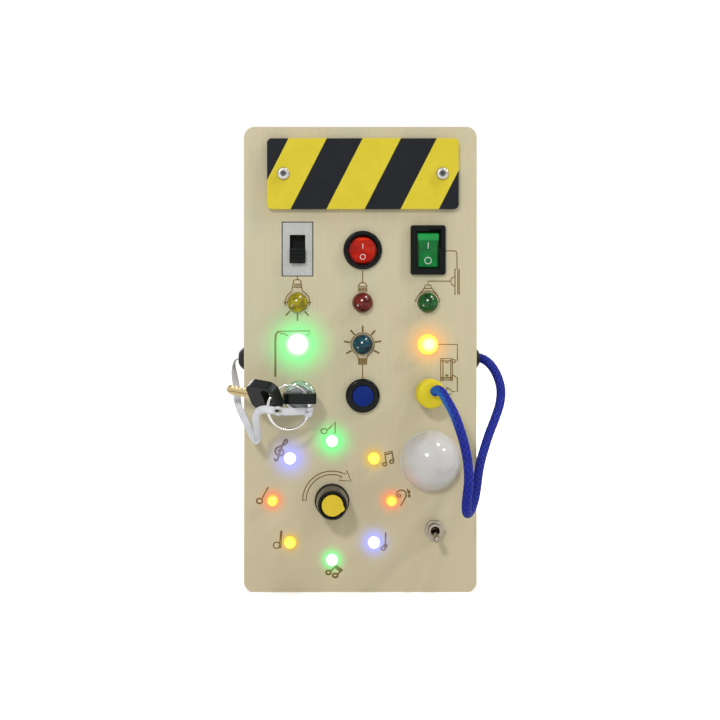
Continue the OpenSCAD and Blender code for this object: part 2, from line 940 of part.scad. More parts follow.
// The cap: a disc with a pointed beak that reaches the knob's edge, grown by a margin
module cap_form(grow, z0, z1) {
    beak = knob_face_d / 2 - 0.5;
    flank = knob_cap_d / 2 - 0.6;
    rod(knob_cap_d / 2 + grow, z0, z1);
    translate([0, 0, z0])
        linear_extrude(height = z1 - z0)
            polygon([
                [0, flank + grow], [flank, flank / 2 + grow], [beak + grow, 0.35 + grow],
                [beak + grow, -0.35 - grow], [flank, -flank / 2 - grow], [0, -flank - grow]
            ]);
}

module knob() {
    color("#131313")
        on_front(knob_at)
            rotate([0, 0, -pointer_angle])
                difference() {
                    rotate_extrude()
                        polygon([
                            [0, knob_foot], [knob_d / 2, knob_foot], [knob_d / 2, knob_foot + 2],
                            [knob_face_d / 2 + 0.5, knob_h - 0.5], [knob_face_d / 2, knob_h], [0, knob_h]
                        ]);
                    rod(rotary_nut_af / 2 / cos(30) + 0.5, knob_foot - cut, knob_skirt);
                    difference() {
                        rod(shaft_d / 2 + run_gap, knob_skirt - cut, shaft_tip + 0.2);
                        translate([shaft_d / 2 - 1.2 + run_gap, -shaft_d, knob_skirt + 1])
                            cube([shaft_d, 2 * shaft_d, knob_h]);
                    }
                    cap_form(0.1, knob_h - 1, knob_h + cut);
                }
}

module knob_cap() {
    color("#e0bc2c")
        on_front(knob_at)
            rotate([0, 0, -pointer_angle])
                cap_form(0, knob_h - 1, knob_h + 0.4);
}

// Push button

button_rim_out = 2.6;
button_spring_room = 5.3;
button_ledge = -front_t - 1;
button_foot_z = button_ledge - 3;
button_floor = button_foot_z - button_travel - button_spring_room;
button_body_back = button_floor - 1.5;
button_bore_r = button_cap_d / 2 + run_gap;
button_wide_r = button_cap_d / 2 + 0.7;
button_spring_wire = 0.7;
button_spring_r = 2.4;

module push_button_body() {
    color("#121214")
        on_front(button_at)
            difference() {
                union() {
                    rounded_disc(button_rim_d / 2, 0, button_rim_out, 1.2);
                    rod(m12_d / 2, button_body_back, sliver);
                    for (x = [-3, 3])
                        translate([x, 0, 0]) block(0.6, 2.4, button_body_back - 4, button_body_back + sliver);
                }
                rod(button_bore_r, button_ledge - cut, button_rim_out + cut);
                rod(button_wide_r, button_floor, button_ledge);
            }
}

module push_button_cap() {
    top = button_rim_out + button_out;
    color("#2440c8")
        on_front(button_at)
            difference() {
                union() {
                    rounded_disc(button_cap_d / 2, button_foot_z, top, 0.8);
                    rod(button_wide_r - run_gap, button_foot_z, button_ledge);
                }
                rod(button_spring_r + 0.8, button_foot_z - cut, button_foot_z + 4);
            }
}

// The return spring stands on the floor of the body and ends inside the cap
spring_low = button_floor + 0.1 + button_spring_wire / 2;
spring_high = button_foot_z + 4 - 0.1 - button_spring_wire / 2;
spring_points = spring_route(button_spring_r, (spring_high - spring_low) / button_curls, button_curls, 8);

module push_button_spring() {
    color("#c9c9cc")
        on_front(button_at)
            translate([0, 0, spring_low]) wire(spring_points, button_spring_wire);
}

// Key lock

lock_rim_out = 3;
lock_body_l = 16;
lock_tab_l = 4;
lock_back = -front_t - lock_body_l;
barrel_foot = lock_back + 2;
keyhole_foot = lock_rim_out - key_blade_l - 0.6;

module lock_body() {
    color("#c9cacc")
        on_front(lock_at)
            difference() {
                union() {
                    rounded_disc(lock_rim_d / 2, 0, lock_rim_out, 1.4);
                    rod(m12_d / 2, lock_back, sliver);
                    for (x = [-3, 3])
                        translate([x, 0, 0]) block(0.8, 3, lock_back - lock_tab_l, lock_back + sliver);
                }
                rod(barrel_d / 2 + run_gap, barrel_foot - 0.2, lock_rim_out + cut);
            }
}

module lock_barrel() {
    color("#8d8e90")
        on_front(lock_at)
            difference() {
                rod(barrel_d / 2, barrel_foot, lock_rim_out - 0.2);
                block(key_blade_w + 2 * slide_gap, key_blade_t + 2 * slide_gap, keyhole_foot, lock_rim_out + cut);
            }
}

// A key lies flat in XY: its head runs from x = 0 to key_head_l and its blade towards -x

key_head_r = 4;
key_neck = 1;

module key_head_form() {
    translate([0, 0, -key_head_t / 2])
        difference() {
            linear_extrude(height = key_head_t)
                difference() {
                    translate([key_head_l / 2, 0]) rounded_rect(key_head_l, key_head_l, key_head_r);
                    translate([key_head_l - key_slot_back, 0])
                        rounded_rect(key_slot_w, key_slot_l, key_slot_w / 2 - sliver);
                }
            translate([-cut, -key_blade_w / 2 - seat_gap, key_head_t / 2 - key_blade_t / 2 - seat_gap])
                cube([cut + key_neck + 3, key_blade_w + 2 * seat_gap, key_blade_t + 2 * seat_gap]);
        }
}

module key_blade_form() {
    translate([0, 0, -key_blade_t / 2])
        difference() {
            linear_extrude(height = key_blade_t)
                polygon([
                    [key_neck + 2.8, -key_blade_w / 2], [key_neck + 2.8, key_blade_w / 2],
                    [-key_blade_l + 1.6, key_blade_w / 2], [-key_blade_l, 0.6],
                    [-key_blade_l, -0.6], [-key_blade_l + 1.6, -key_blade_w / 2]
                ]);
            for (z = [0, key_blade_t])
                translate([-key_blade_l - cut, -0.45, z - 0.35]) cube([key_blade_l + cut - 1, 0.9, 0.7]);
            for (k = [1:4])
                translate([-key_blade_l + 2 + 2 * k, key_blade_w / 2, -cut])
                    rotate([0, 0, 45]) translate([-0.5, -0.5]) cube([1, 1, key_blade_t + 2 * cut]);
        }
}

// The key in the lock: head towards the viewer and level, which is the ON position
key_seat_y = front_y - lock_rim_out - 0.3;
module in_lock() {
    translate([lock_at[0], key_seat_y, lock_at[1]]) rotate([0, 0, -90]) children();
}

module key_blade() {
    color("#b59a5a") in_lock() key_blade_form();
}

module key_head() {
    color("#141414") in_lock() key_head_form();
}

// Split ring: two turns of wire, upright, through the right end of the slot in the key's head
ring_yaw = 24;
ring_drop = 3.5;
ring_seat = 0.5;      // how far behind the slot's middle the ring hangs
ring_slot_x = lock_at[0] + key_slot_l / 2 - 1.6;
ring_slot_y = key_seat_y - key_head_l + key_slot_back + ring_seat;
ring_out = [cos(ring_yaw), sin(ring_yaw), 0];
ring_at = [ring_slot_x, ring_slot_y, lock_at[1] - ring_drop] - ring_out * ring_d / 2;
ring_step = 45;
ring_start = 115;
ring_points = ring_route(ring_d / 2, ring_pitch, ring_step, 24, ring_start);

module split_ring() {
    color("#cfcfd2")
        translate(ring_at)
            rotate([90, 0, ring_yaw])
                translate([0, 0, -ring_pitch / 2]) wire(ring_points, ring_wire);
}

echo(split_ring_gap = coil_gap(ring_points, ring_wire, 24),
     button_spring_gap = coil_gap(spring_points, button_spring_wire, 8));

// The spare key hangs on the ring's left side, its top edge leaning towards the viewer and its
// blade turned back to the board
spare_turn = 151;
spare_lean = 40;
spare_rise = 7;
spare_yaw = -32;
spare_at = ring_at + ring_out * (ring_d / 2) * cos(spare_turn) + [0, 0, ring_d / 2 * sin(spare_turn)];

module on_ring() {
    translate(spare_at)
        rotate([90 + spare_lean, spare_rise, spare_yaw])
            translate([-(key_head_l - key_slot_back), 0, 0]) children();
}

module spare_key_blade() {
    color("#c2a766") on_ring() key_blade_form();
}

module spare_key_head() {
    color("#161616") on_ring() key_head_form();
}

// Flat ribbon from the left grommet to the split ring, with the way its width lies
ribbon_route = [
    [-47, 0.5, 100], [-52, 0.5, 100], [-54.6, 0.4, 99.2], [-55.2, 0, 96.5], [-54.8, -2, 92.5],
    [-54, -5.5, 89], [-53.4, -10, 85], [-52.6, -14.7, 81], [-50.6, -19.2, 76.6], [-48.2, -22.8, 72.4],
    [-46.2, -26.5, 68.6], [-44.4, -29.3, 66.4], [-43.2, -32, 68.2], [-43.7, -35, 72.3], [-44, -38.5, 76],
    [-43, -41.5, 79.2], [-40.2, -42.3, 80.3], [-36.5, -40.4, 79.7], [-32.5, -36.6, 79], [-28, -32.6, 78.7],
    [-23.3, -29.6, 78.8]
];
ribbon_wide = [
    [0, 1, 0], [0, 1, 0], [0, 1, 0], [0.4, 1, 0], [1, 0.8, 0],
    [1, 0.4, 0], [1, 0, 0], [1, -0.3, 0.2], [1, -0.3, 0.4], [1, -0.3, 0.7],
    [1, -0.4, 0.9], [0.6, -0.7, 0.8], [-0.6, -0.8, 0.2], [-1, -0.5, 0], [-1, -0.2, 0.4],
    [-0.6, 0, 1], [0, 0, 1], [0, 0, 1], [0, 0, 1], [0, 0, 1],
    [0, 0, 1]
];
module ribbon() {
    sides = [for (i = [0:len(ribbon_route) - 1]) square_to(ribbon_wide[i], heading(ribbon_route, i))];
    color("#ececf2") swept(ribbon_route, sides, ellipse(ribbon_w / 2, ribbon_t / 2, 8));
}

// Socket, plug and rope

socket_flange_t = 1.5;
plug_foot = socket_flange_t + 0.2;
socket_body_l = 9;
socket_tab_l = 4;
socket_back = -front_t - socket_body_l;
plug_pin_l = 10.5;

module socket_body() {
    color("#18181a")
        on_front(plug_at)
            difference() {
                union() {
                    rod(plug_d / 2 - 0.4, 0, socket_flange_t);
                    rod(socket_neck_d / 2, socket_back, sliver);
                    for (x = [-2.5, 2.5])
                        translate([x, 0, 0]) block(0.6, 2.4, socket_back - socket_tab_l, socket_back + sliver);
                }
                rod(plug_pin_d / 2 + run_gap, plug_foot - plug_pin_l - 0.4, socket_flange_t + cut);
            }
}

module plug_body() {
    color("#f3c415")
        on_front(plug_at)
            difference() {
                rounded_disc(plug_d / 2, plug_foot, plug_out, 1.6);
                rod(plug_pin_d / 2 - 0.5 + run_gap, plug_foot - cut, plug_foot + 5);
            }
}

module plug_pin() {
    color("#c8b27a")
        on_front(plug_at)
            union() {
                rod(plug_pin_d / 2, plug_foot - plug_pin_l + 1, plug_foot);
                translate([0, 0, plug_foot - plug_pin_l])
                    cylinder(r1 = plug_pin_d / 2 - 1, r2 = plug_pin_d / 2, h = 1);
                rod(plug_pin_d / 2 - 0.5, plug_foot - sliver, plug_foot + 4.8);
            }
}

// Braided rope from the right grommet, down in a loop and up to the plug's face
rope_route = [
    [47, 0.5, 100], [54, 0.5, 100], [57.6, -0.6, 97.5], [60.4, -2.2, 93], [61.9, -4.4, 87],
    [61.2, -7, 80.8], [58.8, -10.2, 74.6], [55.9, -13.4, 68.4], [53.4, -16.8, 62.4], [51.4, -19.8, 57],
    [49.9, -23, 51.6], [48.8, -26.4, 46.4], [47.4, -30, 41.6], [45.5, -34, 38], [43.6, -38, 37],
    [42.8, -41.4, 40.2], [43, -43.4, 45.2], [43.5, -44, 51.4], [43.2, -43.8, 58], [42.1, -43.4, 64.6],
    [40.3, -42.8, 71.2], [37.9, -41.8, 78], [35.2, -40, 83.4], [32.7, -37.6, 87], [30.9, -34.8, 87.3],
    [29.7, -32.4, 86.3], [29.5, -30.5, 85.8], [29.5, -29.1, 85.8]
];

module rope() {
    color("#1b3fae")
        swept(rope_route, carried(rope_route, [0, 0, 1]), ellipse(rope_d / 2, rope_d / 2, 8));
}

// Toggle switch

toggle_neck_out = 5;
toggle_nut_t = 2;
lever_pivot_z = 2.4;
lever_ball_d = 3.8;
lever_neck_d = 2;
lever_pin_d = 1;
toggle_case_w = 8;
toggle_case_h = 13;
toggle_case_back = -front_t - 9;
toggle_tab_l = 4;

module toggle_body() {
    color("#b0b2b5")
        on_front(toggle_at)
            difference() {
                union() {
                    rod(toggle_neck_d / 2, -front_t - sliver, toggle_neck_out);
                    block(toggle_case_w, toggle_case_h, toggle_case_back, -front_t);
                    for (y = [-1, 0, 1] * toggle_case_h * 0.35)
                        translate([0, y, 0])
                            block(1.6, 0.8, toggle_case_back - toggle_tab_l, toggle_case_back + sliver);
                }
                rod(lever_ball_d / 2 + run_gap, -1, toggle_neck_out + cut);
                translate([0, 0, lever_pivot_z]) rocker_pins(lever_pin_d / 2 + run_gap, toggle_neck_d + 1);
            }
}

module toggle_nut() {
    color("#d5d6d8")
        on_front(toggle_at)
            difference() {
                union() {
                    translate([0, 0, 0.5]) cylinder(d = toggle_nut_af / cos(30), h = toggle_nut_t, $fn = 6);
                    rod(toggle_nut_af / 2 + 0.3, 0, 0.5 + sliver);
                }
                rod(toggle_neck_d / 2 + run_gap, -cut, toggle_nut_t + 1);
            }
}

module toggle_lever() {
    color("#dcdde0")
        on_front(toggle_at)
            translate([0, 0, lever_pivot_z])
                rotate([lever_tilt, 0, 0])
                    union() {
                        sphere(d = lever_ball_d);
                        cylinder(d1 = lever_neck_d, d2 = lever_tip_d, h = lever_l - lever_tip_d / 2);
                        translate([0, 0, lever_l - lever_tip_d / 2]) sphere(d = lever_tip_d);
                        rocker_pins(lever_pin_d / 2, toggle_neck_d - 0.4);
                    }
}

// Nuts behind the panel for the lock, the button and the socket, and the one under the knob

module hex_nut(af, bore_d, z0, z1) {
    difference() {
        translate([0, 0, z0]) cylinder(d = af / cos(30), h = z1 - z0, $fn = 6);
        rod(bore_d / 2 + run_gap, z0 - cut, z1 + cut);
    }
}

panel_nut_t = 2.2;
m12_nut_af = m12_d + 3.2;
socket_nut_af = socket_neck_d + 3.2;

module panel_nuts() {
    color("#9fa1a3") {
        on_front(lock_at) hex_nut(m12_nut_af, m12_d, -front_t - panel_nut_t, -front_t);
        on_front(button_at) hex_nut(m12_nut_af, m12_d, -front_t - panel_nut_t, -front_t);
        on_front(plug_at) hex_nut(socket_nut_af, socket_neck_d, -front_t - panel_nut_t, -front_t);
        on_front(knob_at) hex_nut(rotary_nut_af, bush_d, 0, rotary_nut_t);
    }
}

// Rubber grommets, one in each side, with a hole for the cord

module grommet() {
    rotate([0, 90, 0])
        rotate_extrude()
            difference() {
                union() {
                    square_from([0, -rail_t - 1.2], [grommet_neck_d / 2, 1]);
                    square_from([0, -rail_t - 1.2], [grommet_d / 2 - 0.6, -rail_t]);
                    intersection() {
                        scale_down() circle(grommet_d / 2);
                        square_from([0, 0], [grommet_d, grommet_d]);
                    }
                }
                square_from([-cut, -rail_t - 3], [grommet_bore_d / 2, grommet_out + cut]);
            }
}

// Lowers a circle of the grommet's radius until its top is as high as the dome
module scale_down() {
    translate([0, grommet_out - grommet_d / 2]) children();
}

module grommets() {
    color("#161616")
        for (side = [-1, 1])
            translate([side * board_w / 2, grommet_at[0], grommet_at[1]])
                mirror([side < 0 ? 1 : 0, 0, 0]) grommet();
}

front_panel();
left_rail();
right_rail();
top_rail();
bottom_rail();
back_cover();
back_screws();
warning_plate();
plate_screws();
slide_switch_plate();
slide_switch_body();
slide_switch_slider();
round_rocker_housing();
round_rocker_button();
square_rocker_housing();
square_rocker_button();
yellow_lamp();
red_lamp();
green_lamp();
street_lamp();
blue_lamp();
amber_lamp();
ring_leds_green();
ring_leds_yellow();
ring_leds_red();
ring_leds_blue();
ring_board();
rotary_switch();
rotary_shaft();
knob();
knob_cap();
push_button_body();
push_button_cap();
push_button_spring();
lock_body();
lock_barrel();
key_blade();
key_head();
split_ring();
spare_key_blade();
spare_key_head();
ribbon();
socket_body();
plug_body();
plug_pin();
rope();
dome_lens();
dome_board();
toggle_body();
toggle_nut();
toggle_lever();
panel_nuts();
grommets();
battery_box();
battery_cells();
battery_contacts();
battery_door();
door_screw();
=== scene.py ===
# A wooden busy board for small children, dressed in its real surfaces around its fixed frame.
# Lengths are in millimetres where they are written, and in metres on the objects.
from math import atan2, copysign, cos, pi, radians, sin, tau

import bmesh
import bpy
from mathutils import Matrix, Vector


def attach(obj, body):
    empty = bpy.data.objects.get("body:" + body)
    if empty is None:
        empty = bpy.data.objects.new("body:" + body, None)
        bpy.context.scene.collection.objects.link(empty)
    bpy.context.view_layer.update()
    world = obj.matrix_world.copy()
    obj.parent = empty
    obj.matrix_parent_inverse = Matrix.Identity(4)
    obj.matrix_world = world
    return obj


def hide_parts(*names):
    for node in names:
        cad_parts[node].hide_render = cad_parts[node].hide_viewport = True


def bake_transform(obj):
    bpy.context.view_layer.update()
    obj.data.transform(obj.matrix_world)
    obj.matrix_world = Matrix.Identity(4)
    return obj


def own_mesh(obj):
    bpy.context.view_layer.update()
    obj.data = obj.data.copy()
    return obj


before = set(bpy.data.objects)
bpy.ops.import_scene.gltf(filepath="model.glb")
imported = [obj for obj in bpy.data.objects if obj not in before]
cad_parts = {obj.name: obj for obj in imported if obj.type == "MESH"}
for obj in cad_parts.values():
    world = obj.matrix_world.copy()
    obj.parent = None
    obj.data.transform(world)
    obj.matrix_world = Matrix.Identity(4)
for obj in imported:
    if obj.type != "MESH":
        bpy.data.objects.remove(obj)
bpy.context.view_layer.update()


# --- Camera ---
# In front of the board, level with its lamps and a little to their left, with the lens of the
# picture. The shift brings the board back to the middle of the frame.
mm = 0.001
front_y = -16.0
camera_at = (-20, front_y - 600, 118)
scene = bpy.context.scene

camera_data = bpy.data.cameras.new("camera")
camera_data.lens = 69.8
camera_data.sensor_width = 36
camera_data.shift_x = 0.0642
camera_data.shift_y = -0.0588
camera_data.clip_start = 0.01
camera = bpy.data.objects.new("camera", camera_data)
camera.location = [c * mm for c in camera_at]
camera.rotation_euler = (radians(90), 0, 0)
scene.collection.objects.link(camera)
scene.camera = camera
scene.view_settings.view_transform = "Standard"


# --- Rope ---
# A blue braided cord of 4 mm that leaves the right grommet, hangs in a loop and comes up to the
# plug. Twelve polyester strands, six each way, cross over and under each other round a soft core.


class Value:
    """A number or a colour on its way through a finish, so that its maths reads as arithmetic."""

    def __init__(self, finish, socket):
        self.finish, self.socket = finish, socket

    def maths(self, operation, *values):
        return self.finish.node("ShaderNodeMath", {"operation": operation}, dict(enumerate(values)))

    def __add__(self, other):
        return self.maths("ADD", self, other)

    def __sub__(self, other):
        return self.maths("SUBTRACT", self, other)

    def __rsub__(self, other):
        return self.maths("SUBTRACT", other, self)

    def __mul__(self, other):
        return self.maths("MULTIPLY", self, other)

    def __truediv__(self, other):
        return self.maths("DIVIDE", self, other)

    def __pow__(self, other):
        return self.maths("POWER", self, other)

    def sine(self):
        return self.maths("SINE", self)

    def fraction(self):
        return self.maths("FRACT", self)

    def size(self):
        return self.maths("ABSOLUTE", self)

    def below(self, other):
        return self.maths("MINIMUM", self, other)

    def above(self, other):
        return self.maths("MAXIMUM", self, other)

    def fade(self, start, end):
        """0 at start and beyond it, 1 at end, and smooth between them."""
        return self.finish.node(
            "ShaderNodeMapRange",
            {"interpolation_type": "SMOOTHSTEP"},
            {"Value": self, "From Min": start, "From Max": end},
        )


class Finish:
    """A surface being made: its material, its shader and the place on the piece that it reads."""

    def __init__(self, name, colour, shine=0.5, **numbers):
        self.material = bpy.data.materials.new(name)
        self.material.use_nodes = True
        self.tree = self.material.node_tree
        self.shader = self.tree.nodes["Principled BSDF"]
        self.shader.inputs["Base Color"].default_value = (*colour, 1)
        self.shader.inputs["Specular IOR Level"].default_value = shine
        self.material.diffuse_color = (*colour, 1)
        for socket, number in numbers.items():
            self.shader.inputs[socket.replace("_", " ").title()].default_value = number
        self.place = self.node("ShaderNodeTexCoord", output="Object")

    def node(self, kind, settings={}, inputs={}, output=0):
        """Adds a node and gives one of its outputs. What goes into it is plain or a Value."""
        made = self.tree.nodes.new(kind)
        for setting, value in settings.items():
            setattr(made, setting, value)
        for socket, value in inputs.items():
            if isinstance(value, Value):
                self.tree.links.new(value.socket, made.inputs[socket])
            else:
                made.inputs[socket].default_value = value
        return Value(self, made.outputs[output])

    def part(self, vector, letter):
        """One of the three parts of a place or a direction: X, Y or Z."""
        return self.node("ShaderNodeSeparateXYZ", {}, {0: vector}, letter)

    def axis(self, letter):
        """Where the surface lies along an axis, in mm."""
        return self.part(self.place, letter) * 1000

    def from_place(self, at):
        """How far to the right of a place on the front, and how far above it, in mm."""
        return self.axis("X") - at[0], self.axis("Z") - at[1]

    def away(self, at):
        """The distance from a place on the front, as one looks at it, in mm."""
        x, z = self.from_place(at)
        return (x * x + z * z) ** 0.5

    def noise(self, size, detail=3, stretch=(1, 1, 1)):
        """Cloudy noise from 0 to 1, with features of that size in mm, drawn out along an axis."""
        scale = tuple(1000 / size / part for part in stretch)
        moved = self.node("ShaderNodeMapping", {}, {"Vector": self.place, "Scale": scale})
        return self.node("ShaderNodeTexNoise", {}, {"Vector": moved, "Scale": 1, "Detail": detail})

    def mix(self, low, high, share):
        """The colour low where share is 0 and high where it is 1."""
        low, high = [(*c, 1) if isinstance(c, tuple) else c for c in (low, high)]
        # Its sockets for colours are 6 and 7, and 2 is the output for one
        return self.node("ShaderNodeMix", {"data_type": "RGBA"}, {0: share, 6: low, 7: high}, 2)

    def feed(self, socket, value):
        self.tree.links.new(value.socket, self.shader.inputs[socket])

    def relief(self, height, depth):
        """A bump as deep as depth mm where height goes from 0 to 1."""
        bump = self.node("ShaderNodeBump", {}, {"Height": height, "Distance": depth * mm, "Strength": 1})
        self.feed("Normal", bump)

    def mottled(self, low, high, size, detail=3):
        """Two colours that run into each other in clouds of that size in mm."""
        self.feed("Base Color", self.mix(low, high, self.noise(size, detail)))

    def grained(self, size, detail, depth):
        """The fine unevenness that a mould or polishing leaves."""
        self.relief(self.noise(size, detail), depth)


def smooth_route(points, steps):
    """A smooth curve through the given points, as that many steps from each to the next."""
    points = [Vector(p) for p in points]
    ends = [points[0] * 2 - points[1], *points, points[-1] * 2 - points[-2]]
    route = []
    for a, b, c, d in zip(ends, ends[1:], ends[2:], ends[3:]):
        for i in range(steps):
            t = i / steps
            route.append(
                b + t * (c - a) / 2 + t * t * (a - 2.5 * b + 2 * c - d / 2)
                + t**3 * (1.5 * b - 1.5 * c + (d - a) / 2)
            )
    return [*route, points[-1]]


def headings(route):
    """The direction of a route at each of its points."""
    return [
        (route[min(i + 1, len(route) - 1)] - route[max(i - 1, 0)]).normalized() for i in range(len(route))
    ]


def carried(route, side):
    """A side direction taken along a route without a twist."""
    sides = []
    for heading in headings(route):
        side = (side - side.dot(heading) * heading).normalized()
        sides.append(side)
    return sides


def rolled(bm, route, sides, around, section):
    """Rolls a flat grid into a skin along a route. section(i, turn) is where it lies at point i and
    that part of the way round, along the side and square to it. Its UV map runs along and round."""
    bm.loops.layers.uv.verify()
    last = len(route) - 1
    grid = bmesh.ops.create_grid(bm, x_segments=last, y_segments=around, size=1, calc_uvs=True)["verts"]
    heads = headings(route)
    for vert in grid:
        i = round((vert.co.x + 1) / 2 * last)
        a, b = section(i, (vert.co.y + 1) / 2)
        vert.co = route[i] + a * sides[i] + b * heads[i].cross(sides[i])
    bmesh.ops.remove_doubles(bm, verts=grid, dist=1e-5)
    rims = [edge for edge in bm.edges if edge.is_boundary]
    bmesh.ops.edgeloop_fill(bm, edges=rims)
    bmesh.ops.recalc_face_normals(bm, faces=bm.faces)


def piece(name, bm, finish, body=None, place=Matrix(), sharp=35, stands_for=()):
    """Makes an object in metres out of a bmesh in mm, put in its place on its body."""
    bmesh.ops.transform(bm, matrix=Matrix.Scale(mm, 4) @ place, verts=bm.verts)
    mesh = bpy.data.meshes.new(name)
    bm.to_mesh(mesh)
    bm.free()
    mesh.shade_smooth()
    mesh.set_sharp_from_angle(angle=radians(sharp))
    mesh.materials.append(finish.material)
    made = bpy.data.objects.new(name, mesh)
    scene.collection.objects.link(made)
    # The broad faces keep their own direction, so that gloss lies flat on them up to a rounded edge
    if sharp < 180:
        made.modifiers.new("even_gloss", "WEIGHTED_NORMAL").keep_sharp = True
    if body:
        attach(made, body)
    if stands_for:
        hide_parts(*stands_for)
    return made


def rgb(red, green, blue):
    """A colour as a screen shows it, from 0 to 255, turned into the light that it stands for."""
    return tuple(
        c / 12.92 if c <= 0.04045 else ((c + 0.055) / 1.055) ** 2.4
        for c in (red / 255, green / 255, blue / 255)
    )


rope_d = 4.0
rope_points = [
    (50.5, 0.5, 100), (54, 0.5, 100), (57.6, -0.6, 97.5), (60.4, -2.2, 93), (61.9, -4.4, 87),
    (61.2, -7, 80.8), (58.8, -10.2, 74.6), (55.9, -13.4, 68.4), (53.4, -16.8, 62.4), (51.4, -19.8, 57),
    (49.9, -23, 51.6), (48.8, -26.4, 46.4), (47.4, -30, 41.6), (45.5, -34, 38), (43.6, -38, 37),
    (42.8, -41.4, 40.2), (43, -43.4, 45.2), (43.5, -44, 51.4), (43.2, -43.8, 58), (42.1, -43.4, 64.6),
    (40.3, -42.8, 71.2), (37.9, -41.8, 78), (35.2, -40, 83.4), (33, -37.6, 87.1), (31.7, -35, 87.9),
    (31, -32.6, 87.4), (30.9, -30.7, 87), (30.9, -29, 87),
]
rope_route = smooth_route(rope_points, 20)
rope_l = sum((b - a).length for a, b in zip(rope_route, rope_route[1:]))
strands = 12
strand_pitch = 2.3
strand_rise = 0.08


def rope_skin(i, turn):
    along = rope_l * i / (len(rope_route) - 1) / strand_pitch
    one_way = cos(tau * (strands / 2 * turn + along))
    other_way = cos(tau * (strands / 2 * turn - along))
    r = rope_d / 2 - strand_rise + strand_rise * max(one_way, other_way)
    return r * cos(tau * turn), r * sin(tau * turn)


bm = bmesh.new()
rolled(bm, rope_route, carried(rope_route, Vector((0, 0, 1))), 48, rope_skin)

braid = Finish("braided_polyester", rgb(28, 44, 160), 0.2, Roughness=0.6)
woven = braid.node("ShaderNodeUVMap")
length_way = braid.part(woven, "X") * (rope_l / strand_pitch * tau)
round_way = braid.part(woven, "Y") * (strands / 2 * tau)
crossing = (round_way + length_way + pi / 2).sine().above((round_way - length_way + pi / 2).sine())
threads = ((round_way * 5 + length_way * 5).sine() * 0.5 + 0.5) * 0.35
crest_highlight_patches = braid.noise(3.5, 2)
# Painted shade darkens the grooves between the strands, and a painted highlight lies in patches on the
# threads of their crests
blue = braid.mix(rgb(13, 23, 108), rgb(22, 36, 146), crossing.fade(-0.1, 0.8))
blue = braid.mix(blue, rgb(58, 80, 204), (crossing * threads * crest_highlight_patches).fade(0.05, 0.25) * 0.6)
# Near the plug its left side catches a paler light
near_plug = 1 - (braid.axis("Z") - 84).size().fade(0, 16)
facing = braid.node("ShaderNodeNewGeometry", output="Normal")
left_side = (0 - braid.part(facing, "X")).fade(0.1, 0.85)
blue = braid.mix(blue, rgb(40, 118, 200), near_plug * left_side * (0 - braid.axis("Y")).fade(20, 38) * 0.75)
braid.feed("Base Color", blue)
braid.relief(crossing * 0.7 + threads, 0.07)

rope = piece("rope_braid", bm, braid, sharp=180, stands_for=["rope"])
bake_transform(rope)


# --- Ribbon ---
# A flat woven white ribbon of 3.2 mm that leaves the left grommet, twists down behind the spare
# key, turns up again and is knotted to the split ring, so that the keys can't be lost.
ribbon_w = 3.2
ribbon_t = 0.8
ribbon_points = [
    (-50.5, 0.5, 100), (-52, 0.5, 100), (-54.6, 0.4, 99.2), (-55.2, 0, 96.5), (-54.8, -2, 92.5),
    (-54, -5.5, 89), (-53.4, -10, 85), (-52.6, -14.7, 81), (-50.6, -19.2, 76.6), (-48.2, -22.8, 72.4),
    (-46.2, -26.5, 68.6), (-44.4, -29.3, 66.4), (-43.2, -32, 68.2), (-43.7, -35, 72.3), (-44, -38.5, 76),
    (-43, -41.5, 79.2), (-40.2, -42.3, 80.3), (-36.5, -40.4, 79.7), (-32.5, -36.6, 79), (-28, -32.6, 78.7),
    (-23.3, -29.6, 78.8),
]
# Which way its width lies at each of these points, so that it twists as it hangs
ribbon_ways = [
    *[(0, 1, 0)] * 3, (0.4, 1, 0), (1, 0.8, 0), (1, 0.4, 0), (1, 0, 0), (1, -0.3, 0.2), (1, -0.3, 0.4),
    (1, -0.3, 0.7), (1, -0.4, 0.9), (0.6, -0.7, 0.8), (-0.6, -0.8, 0.2), (-1, -0.5, 0), (-1, -0.2, 0.4),
    (-0.6, 0, 1), *[(0, 0, 1)] * 5,
]
ribbon_steps = 9
ribbon_route = smooth_route(ribbon_points, ribbon_steps)
ribbon_sides = [
    (way - way.dot(heading) * heading).normalized()
    for way, heading in zip(smooth_route(ribbon_ways, ribbon_steps), headings(ribbon_route))
]
# Where its two stretches meet, and where the small loop is, as steps along the route
ribbon_parting = 11 * ribbon_steps
eye_at = 17 * ribbon_steps + 4
ribbon_run = ribbon_route[: ribbon_parting + 1]
ribbon_l = sum((b - a).length for a, b in zip(ribbon_run, ribbon_run[1:]))


def ribbon_skin(i, turn):
    a, b = cos(tau * turn), sin(tau * turn)
    flat = ribbon_t / 2 * (1 + 0.06 * sin(i * pi / 2))
    return ribbon_w / 2 * copysign(abs(a) ** 0.6, a), flat * copysign(abs(b) ** 0.8, b)


def oval(across, through):
    """A section for rolled, with these half widths along the side and square to it."""
    return lambda i, turn: (across * cos(tau * turn), through * sin(tau * turn))


weave = Finish("woven_ribbon", rgb(224, 225, 229), Roughness=0.62, Sheen_Weight=0.3)
woven = weave.node("ShaderNodeUVMap")
ribs = (weave.part(woven, "X") * (ribbon_parting / 2 * tau)).sine() * 0.5 + 0.5
warp = (weave.part(woven, "Y") * (22 * tau)).sine() * 0.5 + 0.5
weave.feed(
    "Base Color",
    weave.mix(rgb(192, 194, 199), rgb(232, 233, 237), ribs * 0.3 + warp * 0.3 + weave.noise(2.5) * 0.5),
)
weave.relief(ribs + warp, 0.05)

bm = bmesh.new()
rolled(bm, ribbon_run, ribbon_sides, 24, ribbon_skin)
ribbon = piece("ribbon_run", bm, weave, sharp=180, stands_for=["ribbon"])
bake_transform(ribbon)

